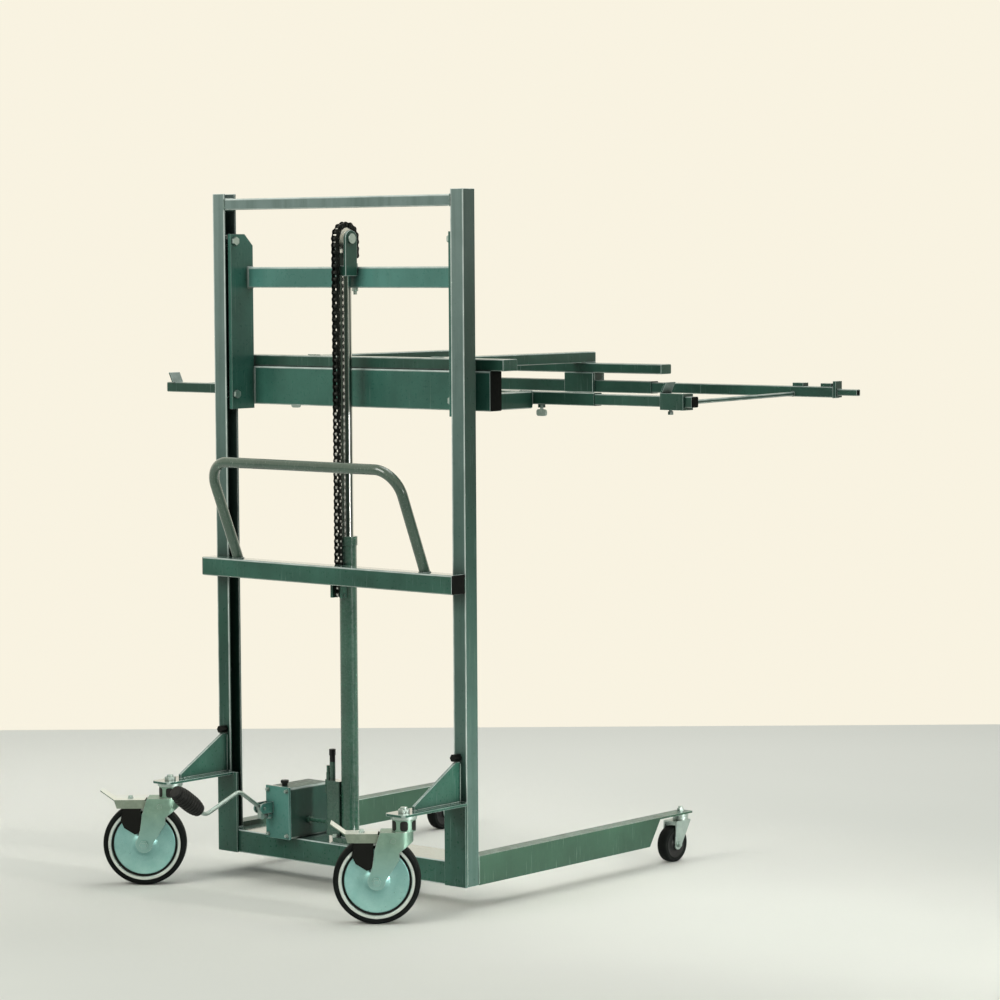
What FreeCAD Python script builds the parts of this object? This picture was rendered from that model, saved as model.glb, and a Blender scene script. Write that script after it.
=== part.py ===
"""Foot-pumped hydraulic lift truck with a chain-lifted fork carriage, in millimetres.

+X runs across the truck, +Y forward along the legs, +Z up. The origin is on the floor,
below the middle of the mast. The carriage is modelled raised, at the top of its travel.
"""
import FreeCAD, Part
import math
import os

V = FreeCAD.Vector
os.makedirs("parts", exist_ok=True)

# Mast of two channel uprights
mast_width = 808.0
mast_top_z = 1661.0
foot_z = 54.0
channel_depth = 40.0
channel_flange = 40.0
channel_wall = 4.0
top_rail_height = 27.0
top_rail_depth = 30.0
top_rail_drop = 12.0
tube_wall = 2.5
tube_corner = 4.0

# Base tray and front legs
tray_height = 56.0
tray_front_y = 95.0
tray_wall = 6.0
leg_length = 815.0
leg_height = 68.0
leg_wall = 3.0
leg_tip_thickness = 5.0
leg_tip_slope = 42.0
leg_caster_room = 28.0

# Rear caster arms
arm_reach = 225.0
arm_width = 60.0
arm_plate = 6.0
arm_inset = 24.0
back_plate_width = 65.0
gusset_thickness = 8.0
gusset_height = 93.0
gusset_nose = 10.0
knob_radius = 9.0
knob_length = 22.0

# Handle
crossbar_size = 45.0
crossbar_wall = 3.0
crossbar_top_z = 781.0
handle_radius = 12.5
handle_wall = 2.5
handle_inset = 101.0
handle_rise = 240.0
handle_lean = 99.0
handle_bend = 65.0

# Hydraulic cylinder and ram
ram_y = 18.0
ram_radius = 14.0
cylinder_radius = 21.0
cylinder_wall = 4.0
cylinder_top_z = 824.0
cylinder_floor = 14.0
cylinder_foot = 66.0
gland_radius = 23.0
gland_height = 22.0
gland_spigot = 20.0
ram_foot_z = 740.0
ram_top_z = 1462.0
piston_height = 35.0
running_clearance = 0.05
part_clearance = 0.4

# Roller chain and sprocket
chain_pitch = 15.875
sprocket_teeth = 13
sprocket_z = 1550.0
dead_run_links = 53
roller_radius = 5.08
link_pin_radius = 2.54
inner_plate_gap = 9.9
link_plate = 1.5
link_plate_gap = 0.2
inner_plate_height = 14.7
outer_plate_height = 13.7
link_pin_overhang = 1.2
sprocket_thickness = 9.1
tooth_height = 3.4
tooth_mouth = 1.55
tooth_seat_gap = 0.35
sprocket_hub_radius = 17.0
sprocket_pin_radius = 8.0
clevis_ear = 7.0
clevis_gap = 26.0
clevis_depth = 40.0
clevis_base = 24.0

# Lift carriage
side_plate = 10.0
side_plate_gap = 3.0
side_plate_back = 12.0
side_plate_front = 63.0
side_plate_low_z = 1140.0
side_plate_high_z = 1564.0
side_plate_chamfer = 28.0
carriage_bar_depth = 20.0
upper_bar_low_z = 1434.0
upper_bar_height = 50.0
lower_beam_depth = 40.0
lower_beam_low_z = 1150.0
lower_beam_height = 93.0
lower_beam_wall = 4.0
lower_beam_overhang = 6.0
roller_clearance = 0.4
guide_roller_width = 22.0
guide_pin_radius = 6.0
upper_roller_z = 1547.0
lower_roller_z = 1176.0
chain_bolt_radius = 4.5

# Fork platform with slide-out end stops
platform_height = 27.0
back_beam_depth = 50.0
back_beam_set = 5.0
back_beam_overhang = 35.0
fork_spacing = 400.0
fork_width = 40.0
front_beam_depth = 40.0
front_beam_height = 24.0
front_beam_overhang = 35.0
sleeve_size = 30.0
sleeve_wall = 2.0
slide_tube = 25.0
slide_gap = 0.5
slide_tube_wall = 2.0
near_bar_y = 260.0
near_bar_rise = 25.0
near_sleeve_half = 569.0
near_slide_end = 850.0
near_slide_root = 250.0
far_bar_y = 665.0
far_sleeve_half = 420.0
far_slide_end = 955.0
far_slide_root = 200.0
far_tip_end = 1018.0
far_tip_size = 15.0
bracket_width = 40.0
near_bracket_inset = 45.0
hanger_length = 90.0
hanger_height = 18.0
hanger_cheek = 8.0
end_collar_length = 66.0
end_collar_wall = 6.5
stop_plate_height = 25.0
stop_plate_thickness = 5.0
stop_plate_depth = 36.0
stop_plate_inset = 28.0
far_stop_thickness = 8.0
far_stop_depth = 26.0
far_stop_rise = 26.0
rest_pad_height = 8.0
rest_pad_depth = 22.0
rest_pad_length = 30.0
rest_pad_inset = 6.0
rest_pad_pitch = 80.0
tie_rod_radius = 5.0
tie_rod_inset = 9.0
tie_rod_drop = 6.0
clamp_screw_radius = 4.0
clamp_screw_inset = 169.0
clamp_collar = 8.0
clamp_stem_drop = 12.0
clamp_wing_width = 28.0
clamp_wing_height = 16.0
clamp_wing_thickness = 6.0
clamp_wing_gap = 4.0
clamp_wing_corner = 6.0

# Foot pump, lowering valve and oil pipes
tank_x = -176.5
tank_width = 77.0
tank_back_y = -44.0
tank_length = 134.0
tank_height = 125.0
tank_wall = 3.0
tank_corner = 8.0
tank_foot_width = 18.0
tank_foot_thickness = 4.0
pump_plate = 6.0
pump_barrel_radius = 8.0
pump_barrel_nose = 12.0
pump_barrel_depth = 60.0
plunger_radius = 4.5
lever_inset = 12.0
lever_ear = 4.0
lever_ear_height = 26.0
lever_pivot_reach = 30.0
lever_pivot_rise = 75.0
lever_pin_radius = 4.0
lever_hub_radius = 9.0
lever_hub_width = 14.0
lever_lobe_drop = 21.0
lever_lobe_radius = 6.0
lever_rod_radius = 5.0
lever_bend = 26.0
lever_hump_reach = 73.0
lever_hump_rise = 50.0
lever_dip_reach = 187.0
lever_dip_rise = 7.0
lever_end_reach = 281.0
lever_end_rise = 74.0
grip_radius = 22.0
grip_length = 96.0
grip_ribs = 9
filler_radius = 10.0
filler_height = 14.0
valve_block_width = 43.0
valve_block_depth = 32.0
valve_block_height = 132.0
valve_stem_inset = 7.0
valve_stem_radius = 7.0
valve_stem_height = 44.0
valve_spindle_radius = 3.0
valve_spindle_depth = 24.0
valve_knob_radius = 8.5
valve_knob_height = 30.0
relief_plug_radius = 6.0
relief_plug_height = 34.0
oil_pipe_radius = 5.0
oil_pipe_rise = 42.0

# Rear casters, turned as they stand
rear_caster_inset = 35.0
rear_head_room = 52.0
rear_caster_side = 24.0
rear_turn = 40.5
rear_trail = 62.0
rear_wheel_radius = 100.0
rear_tyre_depth = 12.0
rear_tyre_width = 46.0
rear_rim_depth = 9.0
rear_web = 6.0
rear_hub_radius = 18.0
rear_fork_gap = 54.0
rear_fork_plate = 4.0
rear_axle_radius = 6.0
rear_race_radius = 30.0
rear_race_height = 7.0
rear_housing_height = 27.6
rear_housing_radius = 27.0
rear_crown_height = 5.0
rear_crown_tail = 8.0
rear_nose_x = -10.0
rear_nose_drop = 23.0
rear_nose_slope = 23.0
rear_fork_boss = 20.0
rear_king_pin = 8.0
pedal_plate = 3.0
pedal_wall = 1.5
pedal_gap = 5.0
pedal_reach = 71.0
pedal_tip = 33.0
pedal_tip_rise = 24.0
pedal_pivot_x = -24.0
pedal_pivot_drop = 13.0
pedal_pin_radius = 4.0
pedal_side_gap = 0.5
pedal_flange = 18.0
brake_arm_drop = 63.0
brake_arm_back = 56.0
brake_arm_front = 7.0

# Front casters
front_caster_inset = 23.0
front_trail = 34.0
front_wheel_radius = 45.0
front_wheel_width = 28.0
front_tyre_depth = 12.0
front_fork_gap = 34.0
front_fork_plate = 3.0
front_fork_boss = 13.0
front_axle_radius = 4.0
front_race_radius = 20.0
front_race_height = 7.0
front_housing_height = 7.0
front_crown_height = 4.0
front_king_pin = 5.0
nut_height = 8.0

# Places worked out from the sizes above
half_mast = mast_width / 2
half_depth = channel_depth / 2
handle_half_width = half_mast - handle_inset
flange_tip_x = half_mast - channel_flange
upright_x = half_mast - channel_flange / 2
tray_top_z = foot_z + tray_height
leg_top_z = foot_z + leg_height
sprocket_radius = chain_pitch / (2 * math.sin(math.pi / sprocket_teeth))
link_bore_radius = link_pin_radius + running_clearance
dead_run_y = ram_y - sprocket_radius
live_run_y = ram_y + sprocket_radius
anchor_pin_z = sprocket_z - dead_run_links * chain_pitch
crossbar_back_y = min(-half_depth, dead_run_y - inner_plate_height / 2 - 1.5)
crossbar_low_z = crossbar_top_z - crossbar_size
plate_outer_x = flange_tip_x - side_plate_gap
plate_inner_x = plate_outer_x - side_plate
guide_roller_radius = half_depth - channel_wall - roller_clearance
lower_beam_top_z = lower_beam_low_z + lower_beam_height
lower_beam_half = half_mast + lower_beam_overhang
near_bracket_x = lower_beam_half - near_bracket_inset
lower_beam_front_y = side_plate_front + lower_beam_depth
upper_bar_top_z = upper_bar_low_z + upper_bar_height
platform_top_z = lower_beam_top_z + platform_height
front_beam_low_z = lower_beam_top_z - front_beam_height
near_bar_z = lower_beam_low_z + near_bar_rise
far_bar_z = front_beam_low_z - hanger_height - sleeve_size / 2
back_beam_front_y = side_plate_front + back_beam_set + back_beam_depth
arm_top_z = 2 * rear_wheel_radius + rear_head_room
arm_low_z = arm_top_z - arm_plate
rear_caster_x = half_mast - rear_caster_side
rear_caster_y = rear_caster_inset - half_depth - arm_reach
front_caster_y = half_depth + leg_length - front_caster_inset
leg_deep_y = front_caster_y - front_trail - front_wheel_radius - leg_caster_room - leg_tip_slope
lever_x = tank_x - tank_width / 2 + lever_inset


def box(x0, x1, y0, y1, z0, z1):
    return Part.makeBox(x1 - x0, y1 - y0, z1 - z0, V(x0, y0, z0))


def rod(start, end, radius):
    way = end - start
    return Part.makeCylinder(radius, way.Length, start, way)


def ring(start, end, outer, inner):
    over = (end - start) * 0.01
    return rod(start, end, outer).cut(rod(start - over, end + over, inner))


def hex_nut(start, end, across):
    way = end - start
    points = []
    for k in range(7):
        turn = math.radians(60 * k)
        points.append(V(across / math.sqrt(3) * math.cos(turn), across / math.sqrt(3) * math.sin(turn), 0))
    nut = Part.Face(Part.makePolygon(points)).extrude(V(0, 0, way.Length))
    nut.Placement = FreeCAD.Placement(start, FreeCAD.Rotation(V(0, 0, 1), way))
    return nut


def prism_yz(points, x0, x1):
    corners = [V(x0, y, z) for y, z in points]
    return Part.Face(Part.makePolygon(corners + corners[:1])).extrude(V(x1 - x0, 0, 0))


def prism_xz(points, y0, y1):
    corners = [V(x, y0, z) for x, z in points]
    return Part.Face(Part.makePolygon(corners + corners[:1])).extrude(V(0, y1 - y0, 0))


def fuse(shapes):
    return shapes[0].multiFuse(shapes[1:]).removeSplitter()


def round_edges(shape, axis, radius):
    """Rounds the long straight edges that run along one axis."""
    chosen = []
    for edge in shape.Edges:
        if isinstance(edge.Curve, Part.Line):
            way = edge.Vertexes[1].Point - edge.Vertexes[0].Point
            if abs(way.normalize().dot(axis)) > 0.999:
                chosen.append(edge)
    return shape.makeFillet(radius, chosen)


def tube(axis, x0, x1, y0, y1, z0, z1, wall):
    """A rounded rectangular tube, open at both ends along its axis."""
    corner = min(tube_corner, 1.5 * wall)
    body = round_edges(box(x0, x1, y0, y1, z0, z1), axis, corner)
    far = 1.0
    inset = [wall * (1 - abs(c)) - far * abs(c) for c in axis]
    bore = box(x0 + inset[0], x1 - inset[0], y0 + inset[1], y1 - inset[1], z0 + inset[2], z1 - inset[2])
    return body.cut(round_edges(bore, axis, corner / 3))


def bent_path(points, bend):
    """Straight runs joined by tangent arcs of one radius."""
    edges = []
    last = points[0]
    for before, corner, after in zip(points, points[1:], points[2:]):
        back = (before - corner).normalize()
        ahead = (after - corner).normalize()
        half = back.getAngle(ahead) / 2
        cut = bend / math.tan(half)
        middle = (back + ahead).normalize()
        start = corner + back * cut
        end = corner + ahead * cut
        crown = corner + middle * (bend / math.sin(half) - bend)
        edges.append(Part.LineSegment(last, start).toShape())
        edges.append(Part.Arc(start, crown, end).toShape())
        last = end
    edges.append(Part.LineSegment(last, points[-1]).toShape())
    return Part.Wire(edges)


def sweep_round(path, radius):
    start = path.Edges[0].Vertexes[0].Point
    way = path.Edges[0].tangentAt(path.Edges[0].FirstParameter)
    profile = Part.Wire([Part.Circle(start, way, radius).toShape()])
    return path.makePipeShell([profile], True, False)


def mirrored(shape):
    return shape.mirror(V(0, 0, 0), V(1, 0, 0))


def both_sides(shape):
    return [shape, mirrored(shape)]


def save(name, shapes):
    solids = [solid for shape in shapes for solid in shape.Solids]
    shape = solids[0] if len(solids) == 1 else Part.makeCompound(solids)
    shape.exportStep(f"parts/{name}.step")


def save_sides(name, shapes):
    """The right-hand piece as built, and its mirror image on the left."""
    save("right_" + name, shapes)
    save("left_" + name, [mirrored(shape) for shape in shapes])


def make_mast():
    body = box(flange_tip_x, half_mast, -half_depth, half_depth, foot_z, mast_top_z)
    inside = half_depth - channel_wall
    slot = box(flange_tip_x - 1, half_mast - channel_wall, -inside, inside, foot_z - 1, mast_top_z + 1)
    upright = round_edges(body.cut(slot), V(0, 0, 1), 0.3 * channel_wall)
    save_sides("upright", [upright])
    rail_top = mast_top_z - top_rail_drop
    rail = tube(V(1, 0, 0), -flange_tip_x, flange_tip_x, -half_depth, top_rail_depth - half_depth,
                rail_top - top_rail_height, rail_top, tube_wall)
    save("top_rail", [rail])


def make_base():
    plate = box(-flange_tip_x, flange_tip_x, -half_depth, tray_front_y, tray_top_z - tray_wall, tray_top_z)
    back_lip = box(-flange_tip_x, flange_tip_x, -half_depth, tray_wall - half_depth, foot_z, tray_top_z)
    front_lip = box(-flange_tip_x, flange_tip_x, tray_front_y - tray_wall, tray_front_y, foot_z, tray_top_z)
    save("base_tray", [fuse([plate, back_lip, front_lip])])

    tip_y = half_depth + leg_length
    tip_low_z = leg_top_z - leg_tip_thickness
    side = [(half_depth, foot_z), (leg_deep_y, foot_z), (leg_deep_y + leg_tip_slope, tip_low_z),
            (tip_y, tip_low_z), (tip_y, leg_top_z), (half_depth, leg_top_z)]
    leg = prism_yz(side, flange_tip_x, half_mast)
    hollow = box(flange_tip_x + leg_wall, half_mast - leg_wall, half_depth + leg_wall, tip_y,
                 foot_z + leg_wall, tip_low_z)
    king_hole = rod(V(upright_x, front_caster_y, tip_low_z - 1), V(upright_x, front_caster_y, leg_top_z + 1),
                    front_king_pin + running_clearance)
    save_sides("leg", [leg.cut(hollow).cut(king_hole)])


def make_caster_arms():
    back_y = -half_depth - arm_plate
    end_y = -half_depth - arm_reach
    back = box(half_mast - back_plate_width, half_mast, back_y, -half_depth, foot_z, arm_top_z)
    left = rear_caster_x - arm_width / 2
    right = rear_caster_x + arm_width / 2
    flange = box(left, right, end_y, back_y, arm_low_z, arm_top_z)
    toe_y = rear_caster_y + rear_king_pin + arm_inset
    top_z = arm_top_z + gusset_height
    side = [(-half_depth, arm_top_z), (-half_depth, top_z), (back_y - gusset_nose, top_z),
            (toe_y, arm_top_z + gusset_nose), (toe_y, arm_top_z)]
    gusset = prism_yz(side, rear_caster_x - gusset_thickness / 2, rear_caster_x + gusset_thickness / 2)
    king_low = V(rear_caster_x, rear_caster_y, arm_low_z - 1)
    king_hole = rod(king_low, king_low + V(0, 0, arm_plate + 2), rear_king_pin + running_clearance)
    flange = round_edges(flange, V(0, 0, 1), arm_width / 5)
    square = box(left, right, back_y - arm_width / 2, back_y, arm_low_z, arm_top_z)
    save_sides("caster_arm", [fuse([back, flange, square, gusset]).cut(king_hole)])


def make_handle():
    front_y = crossbar_back_y - crossbar_size
    bar = tube(V(1, 0, 0), -half_mast, half_mast, front_y, crossbar_back_y, crossbar_low_z, crossbar_top_z,
               crossbar_wall)
    inset = crossbar_wall * 2
    pad = box(flange_tip_x, half_mast, crossbar_back_y, -half_depth, crossbar_low_z + inset,
              crossbar_top_z - inset)
    save("handle_crossbar", [fuse([bar] + both_sides(pad))])

    foot_y = crossbar_back_y - crossbar_size / 2
    below = 0.1
    corners = []
    for side, rise in ((-1, -below), (-1, 1), (1, 1), (1, -below)):
        corners.append(V(side * handle_half_width, foot_y - handle_lean * rise,
                         crossbar_top_z + handle_rise * rise))
    path = bent_path(corners, handle_bend)
    pipe = sweep_round(path, handle_radius).cut(sweep_round(path, handle_radius - handle_wall))
    room = 4 * handle_radius
    under = box(-handle_half_width - room, handle_half_width + room, foot_y - room, foot_y + room,
                crossbar_top_z - room, crossbar_top_z)
    save("push_handle", [pipe.cut(under)])


def make_cylinder():
    top = V(0, ram_y, cylinder_top_z)
    base = V(0, ram_y, tray_top_z)
    floor = V(0, ram_y, tray_top_z + cylinder_floor)
    bore = cylinder_radius - cylinder_wall
    half = cylinder_foot / 2
    foot = box(-half, half, ram_y - half, ram_y + half, tray_top_z, tray_top_z + cylinder_floor)
    foot = round_edges(foot, V(0, 0, 1), half / 4)
    barrel = fuse([foot, rod(base, top, cylinder_radius)]).cut(rod(floor, top + V(0, 0, 1), bore))
    save("lift_cylinder", [barrel])

    seat = top - V(0, 0, gland_spigot)
    cap = rod(top, top + V(0, 0, gland_height), gland_radius)
    spigot = rod(seat, top, bore - running_clearance)
    through = rod(seat - V(0, 0, 1), top + V(0, 0, gland_height + 1), ram_radius + running_clearance)
    cap = cap.makeFillet(2.0, [cap.Edges[0]])
    save("cylinder_gland", [fuse([cap, spigot]).cut(through)])

    foot_point = V(0, ram_y, ram_foot_z)
    piston = rod(foot_point, foot_point + V(0, 0, piston_height), bore - running_clearance)
    shaft = rod(foot_point, V(0, ram_y, ram_top_z), ram_radius)
    save("ram_rod", [fuse([piston, shaft])])


def make_clevis():
    half_x = clevis_gap / 2 + clevis_ear
    half_y = clevis_depth / 2
    base_top = ram_top_z + clevis_base
    base = box(-half_x, half_x, ram_y - half_y, ram_y + half_y, ram_top_z, base_top)
    ears = []
    for x0 in (-half_x, clevis_gap / 2):
        ear = box(x0, x0 + clevis_ear, ram_y - half_y, ram_y + half_y, base_top, sprocket_z)
        ears.append(ear)
        ears.append(rod(V(x0, ram_y, sprocket_z), V(x0 + clevis_ear, ram_y, sprocket_z), half_y))
    axis_start = V(-half_x - clevis_ear, ram_y, sprocket_z)
    axis_end = V(half_x + clevis_ear, ram_y, sprocket_z)
    hole = rod(axis_start, axis_end, sprocket_pin_radius + running_clearance)
    save("ram_clevis", [fuse([base] + ears).cut(hole)])

    head = V(half_x, ram_y, sprocket_z)
    shank = rod(V(-half_x - 3, ram_y, sprocket_z), head, sprocket_pin_radius)
    cap = rod(head, head + V(4, 0, 0), sprocket_pin_radius * 1.5)
    save("sprocket_pin", [fuse([shank, cap])])


def make_sprocket():
    centre = V(0, ram_y, sprocket_z)
    half = V(sprocket_thickness / 2, 0, 0)
    tip_radius = sprocket_radius + tooth_height
    wheel = rod(centre - half, centre + half, tip_radius)
    seat = roller_radius + tooth_seat_gap
    cuts = []
    for tooth in range(sprocket_teeth):
        turn = math.pi - 2 * math.pi * tooth / sprocket_teeth
        along = V(0, math.cos(turn), math.sin(turn))
        across = V(0, -math.sin(turn), math.cos(turn))
        root = centre + along * sprocket_radius
        cuts.append(rod(root - half * 1.2, root + half * 1.2, seat))
        mouth = centre + along * (tip_radius + 1)
        corners = [root + across * seat, mouth + across * seat * tooth_mouth,
                   mouth - across * seat * tooth_mouth, root - across * seat]
        corners = [corner - half * 1.2 for corner in corners]
        cuts.append(Part.Face(Part.makePolygon(corners + corners[:1])).extrude(half * 2.4))
    for cut in cuts:
        wheel = wheel.cut(cut)
    hub_half = V(clevis_gap / 2 - 1, 0, 0)
    hub = rod(centre - hub_half, centre + hub_half, sprocket_hub_radius)
    bore = rod(centre - hub_half * 1.1, centre + hub_half * 1.1, sprocket_pin_radius + running_clearance)
    save("chain_sprocket", [fuse([wheel, hub]).cut(bore)])


def stadium(x0, x1, height):
    """A link plate from the origin up one pitch, with round ends."""
    radius = height / 2
    low = rod(V(x0, 0, 0), V(x1, 0, 0), radius)
    high = rod(V(x0, 0, chain_pitch), V(x1, 0, chain_pitch), radius)
    return fuse([low, high, box(x0, x1, -radius, radius, 0, chain_pitch)])


def make_links():
    """One inner and one outer link, each from a pin at the origin up to the next pin."""
    inner_x = inner_plate_gap / 2
    outer_x = inner_x + link_plate + link_plate_gap
    pins = (V(0, 0, 0), V(0, 0, chain_pitch))
    inner = []
    outer = []
    for side in (-1, 1):
        ends = sorted((side * inner_x, side * (inner_x + link_plate)))
        inner.append(stadium(ends[0], ends[1], inner_plate_height))
        ends = sorted((side * outer_x, side * (outer_x + link_plate)))
        outer.append(stadium(ends[0], ends[1], outer_plate_height))
    reach = V(outer_x + link_plate + link_pin_overhang, 0, 0)
    for pin in pins:
        inner.append(rod(pin - V(inner_x, 0, 0), pin + V(inner_x, 0, 0), roller_radius))
        outer.append(rod(pin - reach, pin + reach, link_pin_radius))
    bores = [rod(pin - reach, pin + reach, link_bore_radius) for pin in pins]
    return fuse(inner).cut(bores[0]).cut(bores[1]), fuse(outer)


def place_link(link, start, end):
    turn = FreeCAD.Rotation(V(0, 0, 1), end - start)
    placed = link.copy()
    placed.Placement = FreeCAD.Placement(start, turn)
    return placed


def chain_run(pins, links, first):
    """Links between neighbouring pins, inner and outer by turns."""
    run = []
    for k, (start, end) in enumerate(zip(pins, pins[1:])):
        run.append(place_link(links[(first + k) % 2], start, end))
    return run


def wrap_pin(k):
    """The k-th pin round the sprocket, counted from where the dead run meets it."""
    turn = math.pi - 2 * math.pi * k / sprocket_teeth
    return V(0, ram_y + sprocket_radius * math.cos(turn), sprocket_z + sprocket_radius * math.sin(turn))


def live_pins():
    """Pins that leave the sprocket on the carriage side, from the wrap's last pin down to the chain bolt."""
    last = wrap_pin(sprocket_teeth // 2)
    drop = math.sqrt(chain_pitch ** 2 - (live_run_y - last.y) ** 2)
    pins = [last, V(0, live_run_y, last.z - drop)]
    for _ in range(2):
        pins.append(pins[-1] - V(0, 0, chain_pitch))
    return pins


def make_chain():
    links = make_links()
    dead = [V(0, dead_run_y, sprocket_z - chain_pitch * k) for k in range(dead_run_links, -1, -1)]
    save("chain_anchor_run", chain_run(dead, links, 0))
    wrap = [wrap_pin(k) for k in range(sprocket_teeth // 2 + 1)]
    live = live_pins()
    save("chain_sprocket_wrap", chain_run(wrap + live[1:2], links, dead_run_links))
    first = dead_run_links + sprocket_teeth // 2 + 1
    save("chain_carriage_run", chain_run(live[1:], links, first))


def make_chain_anchor():
    """A saddle on the cylinder, held off the crossbar by two arms that carry the chain's end pin."""
    low_z = crossbar_low_z + 2 * crossbar_wall
    high_z = crossbar_top_z - 2 * crossbar_wall
    outer = sprocket_radius - inner_plate_height / 2 - 3 * part_clearance
    saddle = ring(V(0, ram_y, low_z), V(0, ram_y, high_z), outer, cylinder_radius + 2 * running_clearance)
    saddle = saddle.cut(box(-outer - 1, outer + 1, ram_y - 4, ram_y + outer + 1, low_z - 1, high_z + 1))
    gap = inner_plate_gap / 2 + 2 * link_plate + link_plate_gap + link_pin_overhang + 2.5
    ear = 7.0
    pieces = [saddle]
    inside = rod(V(0, ram_y, low_z - 1), V(0, ram_y, high_z + 1), cylinder_radius + 2 * running_clearance)
    margin = link_pin_radius * 3
    for x0 in (gap, -gap - ear):
        arm = box(x0, x0 + ear, crossbar_back_y, ram_y - 4, low_z, high_z).cut(inside)
        hang = box(x0, x0 + ear, crossbar_back_y, dead_run_y + margin, anchor_pin_z - margin, low_z)
        pieces += [arm, hang]
    hole = rod(V(-gap - 2 * ear, dead_run_y, anchor_pin_z), V(gap + 2 * ear, dead_run_y, anchor_pin_z),
               link_pin_radius + running_clearance)
    pin = rod(V(-gap - ear - 2, dead_run_y, anchor_pin_z), V(gap + ear + 2, dead_run_y, anchor_pin_z),
              link_pin_radius)
    save("chain_anchor", [fuse(pieces).cut(hole), pin])


def make_carriage():
    back_y = -side_plate_back
    front_y = side_plate_front
    side = [(back_y, side_plate_low_z), (front_y, side_plate_low_z),
            (front_y, side_plate_high_z - side_plate_chamfer),
            (front_y - side_plate_chamfer, side_plate_high_z), (back_y, side_plate_high_z)]
    plate = prism_yz(side, plate_inner_x, plate_outer_x)
    pins = []
    roller_end = half_mast - channel_wall - 3 * part_clearance
    for z in (upper_roller_z, lower_roller_z):
        plate = plate.cut(rod(V(plate_inner_x - 1, 0, z), V(plate_outer_x + 1, 0, z),
                              guide_pin_radius + running_clearance))
        pins.append(rod(V(plate_inner_x - nut_height, 0, z), V(roller_end, 0, z), guide_pin_radius))
        nut = hex_nut(V(plate_inner_x - nut_height, 0, z), V(plate_inner_x, 0, z), 3 * guide_pin_radius)
        spacer = rod(V(plate_outer_x, 0, z), V(roller_end - guide_roller_width - part_clearance, 0, z),
                     1.5 * guide_pin_radius)
        pins[-1] = fuse([pins[-1], nut, spacer])
    save("carriage_side_plates", both_sides(plate))

    hole = rod(V(0, live_run_y, upper_bar_low_z - 1), V(0, live_run_y, upper_bar_top_z + 1),
               chain_bolt_radius + running_clearance)
    upper = tube(V(1, 0, 0), -plate_inner_x, plate_inner_x, front_y - carriage_bar_depth, front_y,
                 upper_bar_low_z, upper_bar_top_z, tube_wall)
    save("carriage_upper_bar", [upper.cut(hole)])
    lower = tube(V(1, 0, 0), -lower_beam_half, lower_beam_half, front_y, lower_beam_front_y, lower_beam_low_z,
                 lower_beam_top_z, lower_beam_wall)
    save("carriage_lower_beam", [lower])

    eye_z = live_pins()[-1].z
    eye_half = inner_plate_gap / 2 - part_clearance
    eye_radius = inner_plate_height / 2
    eye = rod(V(-eye_half, live_run_y, eye_z), V(eye_half, live_run_y, eye_z), eye_radius)
    shank = rod(V(0, live_run_y, upper_bar_low_z - 2 * nut_height), V(0, live_run_y, eye_z),
                chain_bolt_radius)
    eye_hole = rod(V(-eye_radius, live_run_y, eye_z), V(eye_radius, live_run_y, eye_z), link_bore_radius)
    bolt = fuse([eye, shank]).cut(eye_hole)
    bolt_nuts = []
    for z in (upper_bar_top_z, upper_bar_low_z - nut_height):
        nut = hex_nut(V(0, live_run_y, z), V(0, live_run_y, z + nut_height), 3 * chain_bolt_radius)
        bore = rod(V(0, live_run_y, z - 1), V(0, live_run_y, z + nut_height + 1),
                   chain_bolt_radius + running_clearance)
        bolt_nuts.append(nut.cut(bore))
    fasteners = [bolt] + bolt_nuts
    for pin in pins:
        fasteners += both_sides(pin)
    save("carriage_fasteners", fasteners)

    for name, z in (("upper_roller", upper_roller_z), ("lower_roller", lower_roller_z)):
        start = V(roller_end - guide_roller_width, 0, z)
        end = V(roller_end, 0, z)
        wheel = rod(start, end, guide_roller_radius)
        wheel = wheel.makeChamfer(1.5, [edge for edge in wheel.Edges if isinstance(edge.Curve, Part.Circle)])
        wheel = wheel.cut(rod(start - V(1, 0, 0), end + V(1, 0, 0), guide_pin_radius + running_clearance))
        save_sides(name, [wheel])


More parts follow.
